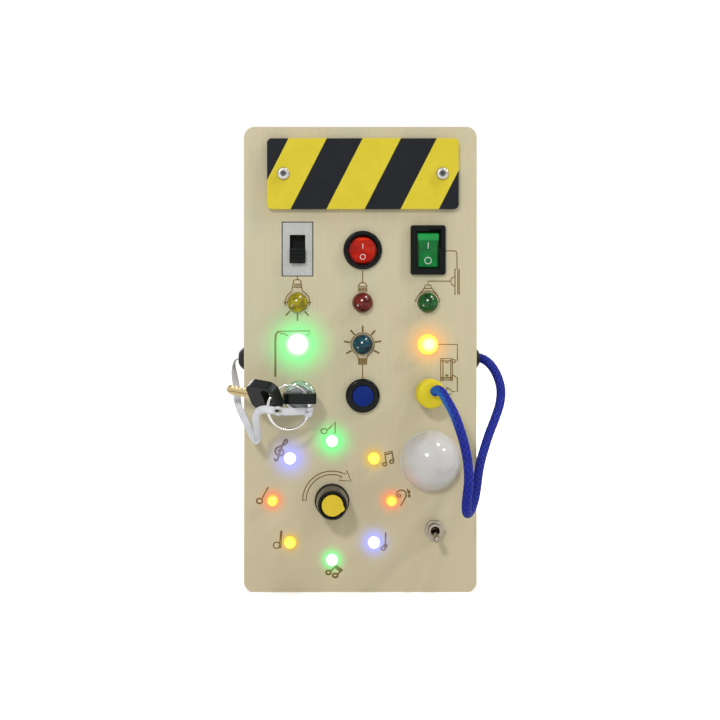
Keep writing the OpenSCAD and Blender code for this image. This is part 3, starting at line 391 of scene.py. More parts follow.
# Its last stretch has the small loop in it that the knot was drawn through
bm = bmesh.new()
before, after = slice(ribbon_parting, eye_at - 3), slice(eye_at + 4, None)
rolled(bm, ribbon_route[before], ribbon_sides[before], 24, ribbon_skin)
rolled(bm, ribbon_route[after], ribbon_sides[after], 24, ribbon_skin)
eye_middle = ribbon_route[eye_at]
eye_along = headings(ribbon_route)[eye_at] * 2.7
eye_across = ribbon_sides[eye_at] * 1.25
eye_angles = [tau * k / 48 for k in range(49)]
eye_route = [eye_middle + eye_along * cos(a) + eye_across * sin(a) for a in eye_angles]
eye_sides = [(p - eye_middle).normalized() for p in eye_route]
rolled(bm, eye_route, eye_sides, 12, oval(0.75, 0.42))
ribbon_end = piece("ribbon_end", bm, weave, sharp=180)
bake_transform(ribbon_end)

# Its knot: two turns round the split ring's wire
ring_r = 9.35
ring_middle = Vector((-30.54, -32.40, 80.5))
ring_turned = (
    Matrix.Translation(ring_middle) @ Matrix.Rotation(radians(24), 4, "Z")
    @ Matrix.Rotation(radians(90), 4, "X")
)
wire_at = radians(-11)
knot_at = ring_turned @ Vector((ring_r * cos(wire_at), ring_r * sin(wire_at), 0))
knot_axis = (ring_turned.to_3x3() @ Vector((-sin(wire_at), cos(wire_at), 0))).normalized()
knot_out = (knot_at - ring_middle).normalized()
knot_up = knot_axis.cross(knot_out)
bm = bmesh.new()
for shift in (-1.5, 0.6):
    turn_route = [
        knot_at + knot_axis * (shift + 0.4 * cos(a)) + knot_out * 1.25 * cos(a) + knot_up * 1.9 * sin(a)
        for a in (tau * k / 40 for k in range(44))
    ]
    rolled(bm, turn_route, carried(turn_route, knot_axis), 16, oval(1.1, 0.42))
knot = piece("ribbon_knot", bm, weave, "ring", sharp=180)


# --- Wooden front ---
# A 4 mm sheet of pale birch plywood, cut by laser, so that the walls of its holes are burnt
# brown. The light that the lit lamps throw on it is painted into the wood's own finish.
board_w = 100
board_h = 200
corner_r = 4.5
knob_at = (-12.2, 39.5)
led_ring_r = 25.5
lamp_at = {
    "yellow": (-27, 124.5), "red": (1, 124.5), "green": (29, 124.5),
    "street": (-27, 106.5), "blue": (1, 106.5), "amber": (29, 106.5),
}
green_light = rgb(140, 255, 152)
blue_light = rgb(184, 185, 248)
red_light = rgb(240, 158, 112)
yellow_light = rgb(224, 185, 92)


def led_at(k):
    """The middle of the small lamp k round the knob, counted clockwise from the top."""
    turn = radians(45 * k)
    return knob_at[0] + led_ring_r * sin(turn), knob_at[1] + led_ring_r * cos(turn)


# Each lit lamp: its place, how far its full light reaches, where that light ends, and its colour
halos = (
    (lamp_at["street"], 6.8, 21.5, rgb(150, 255, 156)),
    (lamp_at["street"], 3.6, 7, rgb(255, 255, 255)),
    (lamp_at["amber"], 4.2, 15, rgb(255, 190, 118)),
    (led_at(0), 4.0, 13, green_light),
    (led_at(4), 2.8, 8, green_light),
    (led_at(1), 2.8, 8, yellow_light),
    (led_at(5), 2.8, 6, yellow_light),
    (led_at(2), 3.4, 8, red_light),
    (led_at(6), 3.3, 8, red_light),
    (led_at(3), 3.6, 10, blue_light),
    (led_at(7), 4.0, 13, blue_light),
)


def lamplight(finish, surface, part):
    """Adds that part of the lamps' light to a finish, and takes as much off its own colour."""
    glow = (0, 0, 0)
    for place, core, reach, tint in halos:
        away = finish.node(
            "ShaderNodeVectorMath", {"operation": "DISTANCE"},
            {0: finish.place, 1: (place[0] * mm, front_y * mm, place[1] * mm)}, "Value",
        ) * 1000
        near = finish.node("ShaderNodeMapRange", {}, {"Value": away, "From Min": reach, "From Max": core})
        share = near**2.5 * part
        surface = finish.mix(surface, (0, 0, 0), share)
        glow = finish.mix(glow, tint, share)
    finish.feed("Emission Color", glow)
    return surface


birch = Finish("birch_plywood", rgb(198, 188, 155), 0.3, Roughness=0.5, Emission_Strength=1)
grain = birch.noise(0.9, 4, (1, 1, 26))
figure = birch.noise(9, 3, (1, 1, 6))
cloud = birch.noise(38, 2)
wood = birch.mix(rgb(197, 187, 155), rgb(201, 191, 159), grain.fade(0.3, 0.7))
wood = birch.mix(wood, rgb(202, 186, 148), figure.fade(0.45, 0.85) * 0.35)
wood = birch.mix(wood, rgb(193, 190, 160), cloud.fade(0.4, 0.75) * 0.5)
wood = birch.mix(wood, rgb(201, 187, 155), birch.axis("Z").fade(110, 10) * 0.6)
depth = birch.axis("Y") - front_y
burnt = depth.fade(0.12, 0.5)
# The sides of the board are sanded, and only the walls of its holes are burnt
past_x = (birch.axis("X").size() - (board_w / 2 - corner_r)).above(0)
past_z = ((birch.axis("Z") - board_h / 2).size() - (board_h / 2 - corner_r)).above(0)
edge_of_board = ((past_x * past_x + past_z * past_z) ** 0.5).fade(corner_r - 0.4, corner_r - 0.1)
veneer_pair = 2.7
veneers = (depth * (tau / veneer_pair)).sine().fade(-0.3, 0.3)
side_wood = birch.mix(rgb(176, 148, 104), rgb(208, 188, 146), veneers)
hole_wood = birch.mix(rgb(62, 40, 22), rgb(104, 70, 40), birch.noise(1.4))
wood = birch.mix(wood, birch.mix(hole_wood, side_wood, edge_of_board), burnt)
birch.feed("Base Color", lamplight(birch, wood, 1))
birch.relief(grain + figure * 0.5, 0.008)


def dress(node, finish):
    """Gives a plain solid of the frame its finish."""
    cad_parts[node].data.materials.clear()
    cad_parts[node].data.materials.append(finish.material)


dress("front_panel", birch)


# --- Rails and back cover ---
# Four solid rails, glued behind the front, make the frame of the box. A thin plywood cover closes
# it at the back.
back_y = 16
rail = Finish("rail_wood", rgb(196, 180, 140), Roughness=0.6)
grain = rail.noise(1.1, 4, (1, 1, 30))
year_ring = 6.2
layers = (rail.axis("Y") * (tau / year_ring)).sine().fade(-0.75, 0.9)
wood = rail.mix(rgb(176, 156, 114), rgb(208, 193, 154), grain.fade(0.25, 0.75) * 0.6 + layers * 0.4)
rail.feed("Base Color", wood)
rail.relief(grain, 0.04)
for node in ("left_rail", "right_rail", "top_rail", "bottom_rail"):
    dress(node, rail)

cover = Finish("cover_plywood", rgb(190, 172, 130), Roughness=0.6)
grain = cover.noise(1.2, 4, (1, 1, 24))
figure = cover.noise(12, 3, (1, 1, 4))
wood = cover.mix(rgb(182, 164, 124), rgb(203, 187, 147), grain.fade(0.25, 0.75))
wood = cover.mix(wood, rgb(166, 140, 98), figure.fade(0.5, 0.85) * 0.6)
from_back = back_y - cover.axis("Y")
wood = cover.mix(wood, rgb(92, 62, 36), from_back.fade(0.12, 0.5) * 0.75)
cover.feed("Base Color", wood)
cover.relief(grain, 0.04)
dress("back_cover", cover)


# --- Burnt drawings ---
# Thin lines that the laser burns into the wood: lamp holders, rays, a street lamp, a battery,
# the arrow over the knob and music signs. Each is a strip a few hundredths of a mm proud.
line_proud = 0.05
burn = Finish("laser_line", rgb(114, 90, 42), 0.1, Roughness=0.7, Emission_Strength=1)
scorched = burn.mix(rgb(90, 68, 26), rgb(138, 112, 54), burn.noise(0.8))
# The light of the lit lamps is painted on the lines too, at 0.4 of its strength
burn.feed("Base Color", lamplight(burn, scorched, 0.4))


def bow(x, z, r, start, end, flat=1.0, steps=None):
    """Points on an arc about (x, z), from the angle start to the angle end."""
    steps = steps or max(5, round(abs(end - start) / 12))
    angles = [radians(start + (end - start) * k / steps) for k in range(steps + 1)]
    return [(x + r * cos(a), z + flat * r * sin(a)) for a in angles]


def burnt_lines(name, at, lines, width=0.45, turn=0, size=1):
    """One drawing: its lines, as points to the right of and above the place at."""
    bm = bmesh.new()
    for line in lines:
        route = [Vector((x * size, 0, z * size)) for x, z in line]
        sides = [heading.cross(Vector((0, 1, 0))) for heading in headings(route)]
        rolled(bm, route, sides, 8, oval(width / 2, line_proud))
    place = Matrix.Translation((at[0], front_y, at[1])) @ Matrix.Rotation(radians(turn), 4, "Y")
    piece(name, bm, burn, "root", place, sharp=60)


def ray(angle, near, far):
    """A short line that points away from a lamp."""
    a = radians(angle)
    return [(near * cos(a), near * sin(a)), (far * cos(a), far * sin(a))]


def curl(points):
    """A smooth line through points of a drawing."""
    return [(p.x, p.z) for p in smooth_route([(x, 0, z) for x, z in points], 4)]


burnt_lines("drawn_yellow_bulb", lamp_at["yellow"], [
    [(0, 11.3), (0, 9.9)],
    [(-2.5, 4.9), (-1.9, 8), (-1.6, 9.3), (-1.1, 9.8), (0.9, 9.8), (1.4, 9.3), (1.6, 8), (2.1, 4.9)],
    [(-1.4, 7.9), (1.4, 7.9)], [(-1.6, 7.2), (1.5, 7.2)], [(-1.8, 6.5), (1.7, 6.5)],
    bow(0, 0, 5.3, 118, 196), bow(0, 0, 5.3, 66, -14),
])
burnt_lines("drawn_yellow_rays", lamp_at["yellow"], [
    ray(180, 4.5, 5.9), ray(228, 4.7, 7.6), ray(270, 4.6, 7.9), ray(310, 4.9, 7.4), ray(0, 4.5, 5.8),
], width=0.7)
burnt_lines("drawn_red_bulb", lamp_at["red"], [
    [(0, 13.7), (0, 8.5)], bow(0, 6.8, 1.8, 180, 0),
    [(-1.8, 4.6), (-1.8, 6.9), (1.8, 6.9), (1.8, 4.6)],
    [(-1.8, 6.2), (1.8, 6.2)], [(-1.8, 5.6), (1.8, 5.6)], [(-1.7, 5.0), (1.7, 5.0)],
])
burnt_lines("drawn_wall_lamp", lamp_at["green"], [
    [(0.1, 7.6), (0.1, 9.2), (9.8, 9.2)],
    [(-1.5, 6.1), (-1.1, 7.5), (1.2, 7.5), (1.7, 6.1)], [(-1.5, 6.1), (1.7, 6.1)],
    [(-1.5, 6.1), (-3.6, 3.6), (-5.3, 0.9), (-5.2, 0.4), (-4.7, 0.6)],
    [(1.7, 6.1), (3.8, 3.6), (5.2, 0.7), (5.0, 0.2), (4.6, 0.5)],
    bow(0, 0, 5.0, 152, 28),
    [(11.7, 11.2), (10.2, 10.4), (9.8, 9.2), (10.2, 7.8), (11.7, 6.9)],
    [(11.7, 14.4), (13.5, 14.4), (13.5, 3.3), (11.7, 3.3), (11.7, 14.4)], [(12.9, 14.0), (12.9, 3.8)],
    [(12.6, 14.4), (12.5, 21.0), (12.2, 21.9), (11.5, 22.2), (7.6, 22.2)],
])
burnt_lines("drawn_street_post", (0, 0), [
    [(-36.5, 92.6), (-36.5, 109.4)], [(-36.5, 108.6), (-36.3, 110.6), (-35.7, 111.7), (-34.6, 112.1)],
], width=0.9)
burnt_lines("drawn_street_arm", (0, 0), [
    [(-34.9, 112.1), (-21.8, 112.3), (-21.8, 111.2)],
    [(-34.6, 111.3), (-32.7, 111.1), (-30.8, 110.0)], [(-22.9, 110.3), (-22.4, 111.1)],
], width=0.55)
burnt_lines("drawn_blue_rays", lamp_at["blue"], [
    ray(a, 5.4, 8.1) for a in (-28, 10, 48, 90, 130, 171, 209)
], width=0.75)
burnt_lines("drawn_blue_bulb", lamp_at["blue"], [
    [*bow(0, 0, 5.0, 238, -58), (1.75, -6.0), (1.75, -8.6), (-1.75, -8.6), (-1.75, -6.0), (-2.6, -4.3)],
    *([(-1.7, z), (1.7, z)] for z in (-6.1, -6.6, -7.1, -7.6, -8.1)),
    [(0, -8.7), (0, -14.6)],
])
burnt_lines("drawn_battery", (0, 0), [
    [(33.4, 106.5), (41.7, 106.5), (41.7, 99.4), (40.4, 99.4)],
    [(34.5, 100.4), (39.6, 100.4), (39.6, 90.9), (34.5, 90.9), (34.5, 100.4)],
    [(35.5, 100.4), (35.5, 90.9)], [(38.9, 100.4), (38.9, 90.9)],
    [(34.5, 99.4), (39.6, 99.4)], [(34.5, 92.3), (39.6, 92.3)], [(34.5, 91.6), (39.6, 91.6)],
    [(36.5, 98.7), (37.9, 98.7)], [(36.5, 93.2), (37.9, 93.2)], [(37.2, 92.6), (37.2, 93.8)],
    [(39.6, 100.2), (40.7, 99.9), (40.7, 98.7), (39.6, 98.5)],
    [(39.6, 93.2), (40.4, 93.0), (41.7, 92.2), (41.7, 86.2), (39.1, 86.2)],
    [(37.2, 88.0), (39.1, 86.7)], [(37.2, 85.3), (39.1, 85.1)], [(37.2, 88.0), (36.9, 85.4)],
])
arrow_tip = [(6.4, 12.8), (8.2, 8.2), (3.1, 8.6), (4.1, 10.2)]
burnt_lines("drawn_arrow", knob_at, [
    [*bow(0, 0, 12.6, 180, 63), *arrow_tip, *bow(0, 0, 11.1, 67, 180), (-12.6, 0)],
])
# Music signs: a note's head and stem, two notes under a beam, and the two clefs
head = bow(0, 0, 1.25, 0, 360, 0.85)
burnt_lines("drawn_note_top", (-15.6, 69.2), [
    head, [(1.1, 0.4), (2.8, 1.7), (4.8, 4.0), (4.8, -0.6), (4.2, -0.9)],
], width=0.6)
treble = [
    (-0.9, -4.2), (-0.3, -4.9), (0.4, -4.3), (0.2, -2), (-0.1, 1.5), (-0.2, 3.2), (0.3, 4.7), (1.0, 4.4),
    (0.8, 3.0), (-0.6, 1.4), (-1.9, -0.2), (-1.6, -1.8), (0.1, -2.5), (1.5, -1.6), (1.4, -0.2), (0.1, 0.3),
    (-0.7, -0.5), (-0.3, -1.3),
]
burnt_lines("drawn_treble_clef", (-34.2, 61.2), [curl(treble)], width=0.85, turn=24, size=1.05)
burnt_lines("drawn_note_left", (-43.3, 39.2), [head, [(0.9, 0.8), (1.9, 2.6), (3.7, 6.0)]], width=0.7)
burnt_lines("drawn_note_low_left", (-36.0, 20.2), [
    bow(0, 0, 1.35, 20, 330), [(1.2, -1.2), (1.4, 1.5), (1.9, 6.3), (2.3, 6.2), (1.8, -0.9), (1.2, -1.2)],
], width=0.5)
burnt_lines("drawn_notes_bottom", (-13.7, 8.5), [
    bow(0, 0, 1.05, 0, 360, 0.8), bow(2.9, -1.3, 1.05, 0, 360, 0.8),
    [(0.9, 0.5), (3.4, 2.9), (6.0, 1.0), (3.8, -0.8)], [(2.9, 2.2), (5.4, 0.4)], [(3.2, 2.6), (5.7, 0.7)],
], width=0.85)
burnt_lines("drawn_note_low_right", (9.9, 18.8), [
    bow(0, 0, 0.9, 0, 360, 0.8), bow(0.9, 1.2, 0.7, 0, 360, 0.8), [(0.8, 0.3), (0.9, 3.0), (1.0, 7.0)],
], width=0.65)
bass = [
    (-2.2, 0.2), (-1.4, 0.9), (-0.7, 0.4), (-1.2, -0.4), (-2.3, 0.1), (-2.4, 1.5), (-1.0, 2.6), (0.9, 2.3),
    (1.6, 0.6), (0.8, -1.4), (-0.8, -4.2),
]
burnt_lines("drawn_bass_clef", (18.1, 41.2), [
    curl(bass), bow(2.8, 1.9, 0.4, 0, 360), bow(2.9, 0.2, 0.4, 0, 360), [(2.0, 3.2), (2.9, 1.0)],
], width=0.6)
burnt_lines("drawn_notes_right", (10.4, 55.0), [
    bow(0, 0, 0.85, 0, 360, 0.8), bow(3.1, 1.1, 0.85, 0, 360, 0.8),
    [(0.75, 0.2), (0.1, 4.9), (3.2, 5.7), (3.9, 1.3)], [(0.2, 4.1), (3.3, 4.9)],
], width=0.62)


# --- Striped plate ---
# A plate of yellow acrylic over the switches, printed with slanting black bands. Two pan head
# screws hold it on the wood.
def eased(node, width, steps=2, angle=30):
    """A plain solid of the frame in mm, its loose triangles joined and its hard edges rounded."""
    bm = bmesh.new()
    bm.from_mesh(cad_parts[node].data)
    bmesh.ops.scale(bm, vec=(1000, 1000, 1000), verts=bm.verts)
    bmesh.ops.remove_doubles(bm, verts=bm.verts, dist=1e-3)
    bmesh.ops.dissolve_limit(bm, angle_limit=radians(1), verts=bm.verts, edges=bm.edges)
    soften(bm, width, steps, angle)
    return bm


def soften(bm, width, steps=2, angle=30):
    """Rounds the edges where faces meet at more than the angle."""
    hard = [e for e in bm.edges if len(e.link_faces) == 2 and e.calc_face_angle(0) > radians(angle)]
    bmesh.ops.bevel(
        bm, geom=hard, offset=width, offset_type="OFFSET", segments=steps, profile=0.5,
        affect="EDGES", clamp_overlap=True, material=-1,
    )


def eased_piece(name, node, finish, body, width, steps=2, angle=30, sharp=35):
    """A piece that is a solid of the frame with its hard edges rounded, and stands for it."""
    return piece(name, eased(node, width, steps, angle), finish, body, sharp=sharp, stands_for=[node])


plate_at = (1, 179.6)
plate_screw_x = 34
# Its bands lean to the right, and one begins every band_pitch along the plate
band_w = 15.4
band_pitch = 31.7
band_start = -22.2
band_lean = 0.512
stripes = Finish("striped_acrylic", rgb(220, 198, 42), 0.2, Roughness=0.2)
bands = (stripes.axis("X") - (stripes.axis("Z") - plate_at[1]) * band_lean - band_start) / band_pitch
phase = (bands + 10).fraction() * band_pitch
band = (phase - band_w / 2).size().fade(band_w / 2 + 0.05, band_w / 2 - 0.08)
scuffs = stripes.noise(7, 5)
yellow = stripes.mix(rgb(207, 188, 40), rgb(222, 203, 58), scuffs)
black = stripes.mix(rgb(10, 13, 18), rgb(24, 28, 34), scuffs)
stripes.feed("Base Color", stripes.mix(yellow, black, band))
stripes.grained(2.5, 4, 0.02)
eased_piece("striped_plate", "warning_plate", stripes, "root", 0.35, 3, sharp=12)

steel = Finish("bright_steel", rgb(158, 160, 163), Metallic=1.0, Roughness=0.28)
steel.grained(0.6, 4, 0.004)
# The cross recess in each head is painted darker, as painted shade
screw_steel = Finish("screw_steel", rgb(150, 151, 150), Metallic=1.0, Roughness=0.34)
plate_x, screw_z = screw_steel.from_place(plate_at)
screw_x = plate_x.size() - plate_screw_x
recess_shade = (screw_x * screw_x + screw_z * screw_z).fade(2.4, 0.5)
screw_steel.feed("Base Color", screw_steel.mix(rgb(172, 171, 166), rgb(74, 76, 76), recess_shade))
screw_steel.grained(0.6, 4, 0.004)
eased_piece("plate_pan_screws", "plate_screws", screw_steel, "root", 0.12)


# --- Slide switch ---
# A stamped steel face in its cut-out, with a black nylon case behind it. The ridged slider runs up
# and down in the slot of the face.
brushed = Finish("stamped_steel", rgb(152, 153, 149), Metallic=0.6, Roughness=0.5)
hairline = brushed.noise(0.4, 3, (1, 1, 3))
speckle = hairline * 0.6 + brushed.noise(3) * 0.4
brushed.feed("Base Color", brushed.mix(rgb(137, 138, 134), rgb(178, 179, 175), speckle))
brushed.relief(hairline, 0.02)
eased_piece("slide_face", "slide_switch_plate", brushed, "root", 0.18)

moulded = Finish("black_nylon", rgb(8, 13, 10), 0.12, Roughness=0.42)
moulded.grained(0.5, 3, 0.02)
gloss = Finish("black_gloss", rgb(6, 10, 8), 0.15, Roughness=0.18)
gloss.grained(6, 2, 0.02)
dress("slide_switch_body", moulded)
eased_piece("slide_knob", "slide_switch_slider", moulded, "slider", 0.22)


# --- Rocker switches ---
# See-through rockers, red and green, in glossy black bezels. Each is marked I and O in white,
# and its foot is pressed in.
round_at = (1, 147)
square_at = (29, 147)


def clear_plastic(name, deep, shallow, edge, painted_rim_shade):
    """Coloured see-through plastic: cloudy within, with a faint painted glow of its own colour, a painted
    highlight on its top end and painted shade towards its edges.
    """
    made = Finish(
        name, shallow, 0.12, Roughness=0.12, Emission_Color=(*shallow, 1), Emission_Strength=0.1
    )
    body = made.mix(deep, shallow, made.noise(4, 3).fade(0.3, 0.75))
    # Painted highlight: the top end of the rocker is lighter
    painted_top_highlight = (made.axis("Z") - round_at[1]).fade(3.9, 4.6) * 0.45
    body = made.mix(body, tuple(min(1, c * 2.6 + 0.03) for c in shallow), painted_top_highlight)
    # Painted shade: the colour goes dark towards its edges
    made.feed("Base Color", made.mix(edge, body, painted_rim_shade(made)))
    return made


def round_rocker_rim_shade(made):
    """0 at the painted dark shade on the edge of the round rocker, 1 within it."""
    x, z = made.from_place(round_at)
    return (x * x + z * z).fade(35, 22) * x.size().fade(6.2, 5.2)


def square_rocker_rim_shade(made):
    """0 at the painted dark shade on the edge of the square rocker, 1 within it."""
    x, z = made.from_place(square_at)
    return (x.size() - z.fade(3.4, 3.8) * 0.8).fade(4.3, 3.3) * z.size().fade(7.4, 6.8)


def on_front(at):
    """Where a piece of the front is drawn: x to the right, y up and z out of the panel."""
    return Matrix.Translation((at[0], front_y, at[1])) @ Matrix.Rotation(radians(90), 4, "X")


red_plastic = clear_plastic("red_rocker", rgb(150, 14, 2), rgb(192, 34, 6), rgb(52, 8, 4), round_rocker_rim_shade)
eased_piece("round_rocker", "round_rocker_button", red_plastic, "round_rocker", 0.35, 3)
green_plastic = clear_plastic("green_rocker", rgb(3, 88, 36), rgb(9, 120, 52), rgb(4, 44, 20), square_rocker_rim_shade)
eased_piece(
    "square_rocker", "square_rocker_button", green_plastic, "square_rocker", 0.35, 3
)
eased_piece("round_bezel", "round_rocker_housing", gloss, "root", 0.25, 3)
eased_piece("square_bezel", "square_rocker_housing", gloss, "root", 0.35, 3)

paint = Finish("white_marking", rgb(236, 236, 232), Roughness=0.5)
paint.mottled(rgb(214, 214, 210), rgb(246, 246, 242), 0.6)

# A rocker's pin lies behind the panel's face, and its two faces slope down to its middle
rocker_pin_z = -1.2
rocker_middle = 2.4
rocker_dip = 1.5
rocker_rest = radians(8)


def rocker_marks(name, at, body, half_h, bar_up, bar_l, circle_down, circle_r):
    """The I on a rocker's upper half and the O on its lower half, printed on its sloping faces."""
    slope = atan2(rocker_dip, half_h)
    bm = bmesh.new()
    circle = [Vector((x, y, 0)) for x, y in bow(0, 0, circle_r, 0, 360, steps=32)]
    rolled(bm, circle, carried(circle, Vector((0, 0, 1))), 8, oval(0.05, 0.12))
    lower_face = Matrix.Rotation(-slope, 4, "X") @ Matrix.Translation((0, -circle_down, 0.07))
    bmesh.ops.transform(bm, matrix=lower_face, verts=bm.verts)
    upper_face = Matrix.Rotation(slope, 4, "X") @ Matrix.Translation((0, bar_up, 0.05))
    bmesh.ops.create_cube(bm, size=1, matrix=upper_face @ Matrix.Diagonal((0.28, bar_l, 0.1, 1)))
    tilted = (
        on_front(at) @ Matrix.Translation((0, 0, rocker_pin_z)) @ Matrix.Rotation(rocker_rest, 4, "X")
        @ Matrix.Translation((0, 0, rocker_middle))
    )
    piece(name, bm, paint, body, tilted)


rocker_marks("round_marks", round_at, "round_rocker", 6.05, 2.2, 2.3, 2.6, 1.1)
rocker_marks("square_marks", square_at, "square_rocker", 7.7, 2.4, 2.8, 4.2, 1.4)


# --- Lamps ---
# Six 8.5 mm lamps of cast epoxy with domed fronts, pushed in from behind up to their flanges.
# Two are lit: the green one under the drawn street lamp, and the amber one.
lamp_d = 8.5


def turned(bm, profile, steps, axis_at=(0, 0)):
    """Turns a profile of (radius, height) about local Z, as on a lathe."""
    x, y = axis_at
    verts = [bm.verts.new((x + r, y, z)) for r, z in profile]
    edges = [bm.edges.new(pair) for pair in zip(verts, verts[1:])]
    bmesh.ops.spin(
        bm, geom=verts + edges, cent=(x, y, 0), axis=(0, 0, 1), angle=tau, steps=steps, use_merge=True
    )
    bmesh.ops.remove_doubles(bm, verts=bm.verts, dist=1e-4)
    bmesh.ops.recalc_face_normals(bm, faces=bm.faces)


def lamp(bm, d, lead_l, at=(0, 0)):
    """One lamp: its domed lens, its flange behind the panel and its two leads."""
    r = d / 2
    foot = -5
    lens = bow(0, 1.6, r, 90, 0, steps=14)
    turned(bm, [*lens, (r, foot + 1), (r + 0.5, foot + 1), (r + 0.5, foot), (0, foot)], 48, at)
    for x in (-1.27, 1.27):
        bmesh.ops.create_cone(
            bm, cap_ends=True, segments=8, radius1=0.3, radius2=0.3, depth=lead_l,
            matrix=Matrix.Translation((at[0] + x, at[1], foot - lead_l / 2)),
        )


def lamp_glass(name, at, deep, middle, spark):
    """Unlit coloured epoxy: deep and livelier colour in clouds, painted flecks of caught light that also
    glow a little, and three painted highlights where the studio lights would shine on its dome."""
    made = Finish(name, middle, 0.22, Roughness=0.11, Emission_Strength=0.25)
    flecks = made.noise(1.1, 4).fade(0.56, 0.78)
    cloud = made.noise(3.2, 3).fade(0.3, 0.7)
    painted_glints = 0
    # Painted highlights: the same three pale spots on every lamp, where the lights would shine on it
    for right, up, r in ((-0.5, 0.9, 0.62), (1.3, 2.4, 0.55), (-2.2, -1.3, 0.42)):
        painted_glints = made.away((at[0] + right, at[1] + up)).fade(r, r / 3).above(painted_glints)
    body = made.mix(made.mix(deep, middle, cloud), spark, flecks * 0.45)
    made.feed("Base Color", made.mix(body, rgb(238, 242, 226), painted_glints * 0.85))
    made.feed("Emission Color", made.mix((0, 0, 0), middle, flecks * 0.5 + 0.08))
    return made


def fitted_lamp(key, glass):
    """The lamp of that name in its hole."""
    bm = bmesh.new()
    lamp(bm, lamp_d, 9)
    piece(f"{key}_epoxy_lamp", bm, glass, "root", on_front(lamp_at[key]), stands_for=[f"{key}_lamp"])


for key, deep, middle, spark in (
    ("yellow", rgb(104, 90, 2), rgb(172, 158, 8), rgb(236, 226, 50)),
    ("red", rgb(62, 6, 2), rgb(118, 20, 8), rgb(206, 88, 54)),
    ("green", rgb(2, 44, 10), rgb(8, 96, 28), rgb(84, 164, 76)),
    ("blue", rgb(0, 26, 36), rgb(3, 62, 76), rgb(52, 156, 170)),
):
    fitted_lamp(key, lamp_glass(f"{key}_epoxy", lamp_at[key], deep, middle, spark))


def lit_glass(name, places, core, rim, edge):
    """Lit epoxy: nearly white over its own light, with the lamp's colour towards its rim."""
    made = Finish(name, rim, Roughness=0.2, Coat_Weight=0.5, Emission_Strength=1.15)
    nearest = made.away(places[0])
    for place in places[1:]:
        nearest = nearest.below(made.away(place))
    made.feed("Emission Color", made.mix(core, rim, (nearest + (made.noise(1.5, 2) - 0.5) * 0.4).fade(*edge)))
    return made


for key, colour, core, rim, edge in (
    ("street", "green", rgb(255, 255, 255), rgb(206, 255, 206), (2.6, 4.3)),
    ("amber", "amber", rgb(255, 250, 212), rgb(252, 218, 58), (0.8, 3.9)),
):
    fitted_lamp(key, lit_glass(f"lit_{colour}_epoxy", [lamp_at[key]], core, rim, edge))


# --- Ring of lamps ---
# Eight 5 mm lamps of cast epoxy, soldered to one green circuit board behind the panel. All are
# lit, and opposite ones have the same colour.
small_lamp_d = 5.0
for k, colour, core, rim, edge in (
    (0, "green", rgb(255, 255, 255), rgb(190, 255, 200), (1.7, 2.7)),
    (1, "yellow", rgb(252, 250, 84), rgb(246, 196, 60), (1.3, 2.7)),
    (2, "red", rgb(250, 248, 70), rgb(240, 138, 56), (1.1, 2.7)),
    (3, "blue", rgb(255, 255, 255), rgb(206, 206, 255), (1.7, 2.7)),
):
    bm = bmesh.new()
    places = [led_at(k), led_at(k + 4)]
    for x, z in places:
        lamp(bm, small_lamp_d, 3, (x - knob_at[0], z - knob_at[1]))
    lit = lit_glass(f"lit_{colour}_small", places, core, rim, edge)
    at = on_front(knob_at)
    piece(f"small_lamps_{colour}", bm, lit, "root", at, stands_for=[f"ring_leds_{colour}"])

circuit = Finish("circuit_board", rgb(26, 92, 52), Roughness=0.35, Coat_Weight=0.4)
tracks = (circuit.axis("X") * 1.6).sine().above((circuit.axis("Z") * 1.6).sine()).fade(0.93, 0.99)
copper = tracks * 0.7 + circuit.noise(5) * 0.3
circuit.feed("Base Color", circuit.mix(rgb(20, 78, 44), rgb(64, 140, 84), copper))
circuit.relief(tracks, 0.03)
dress("ring_board", circuit)
dress("dome_board", circuit)


# --- Knob ---
# A glossy black phenolic knob, pushed on the shaft of a rotary switch. A yellow cap closes it,
# whose beak is the pointer.
zinc = Finish("zinc_plate", rgb(168, 170, 172), Metallic=0.9, Roughness=0.38)
zinc.mottled(rgb(146, 148, 150), rgb(190, 191, 193), 2.2, 4)
zinc.grained(0.5, 3, 0.01)
for node in ("rotary_switch", "rotary_shaft", "panel_nuts"):
    dress(node, zinc)

bm = bmesh.new()
bore = 3.05
turned(bm, [
    (bore, 4.6), (6.3, 4.6), (6.3, 0.8), (7.4, 0.8), (7.4, 2.9), (6.95, 3.3), (6.2, 16.4), (5.8, 17.5),
    (4.95, 17.5), (4.8, 16.6), (0, 16.6), (0, 14.7), (bore, 14.7), (bore, 4.6),
], 96)
soften(bm, 0.28, 3, 22)
phenolic = Finish("black_phenolic", rgb(8, 12, 14), 0.12, Roughness=0.12)
phenolic.grained(6, 2, 0.02)
piece("knob_body", bm, phenolic, "knob", on_front(knob_at), stands_for=["knob"])

cap_yellow = Finish("yellow_cap", rgb(216, 188, 40), 0.3, Roughness=0.42)
cap_yellow.mottled(rgb(206, 178, 30), rgb(222, 194, 48), 3)
cap_yellow.grained(0.8, 3, 0.02)
eased_piece("pointer_cap", "knob_cap", cap_yellow, "knob", 0.18, 3, 50)


# --- Push button ---
# A blue cap in a glossy black body, which a nut holds from behind. A coil spring pushes the cap
# back out.
button_at = (1, 84.5)
eased_piece("button_bezel", "push_button_body", gloss, "root", 0.2)

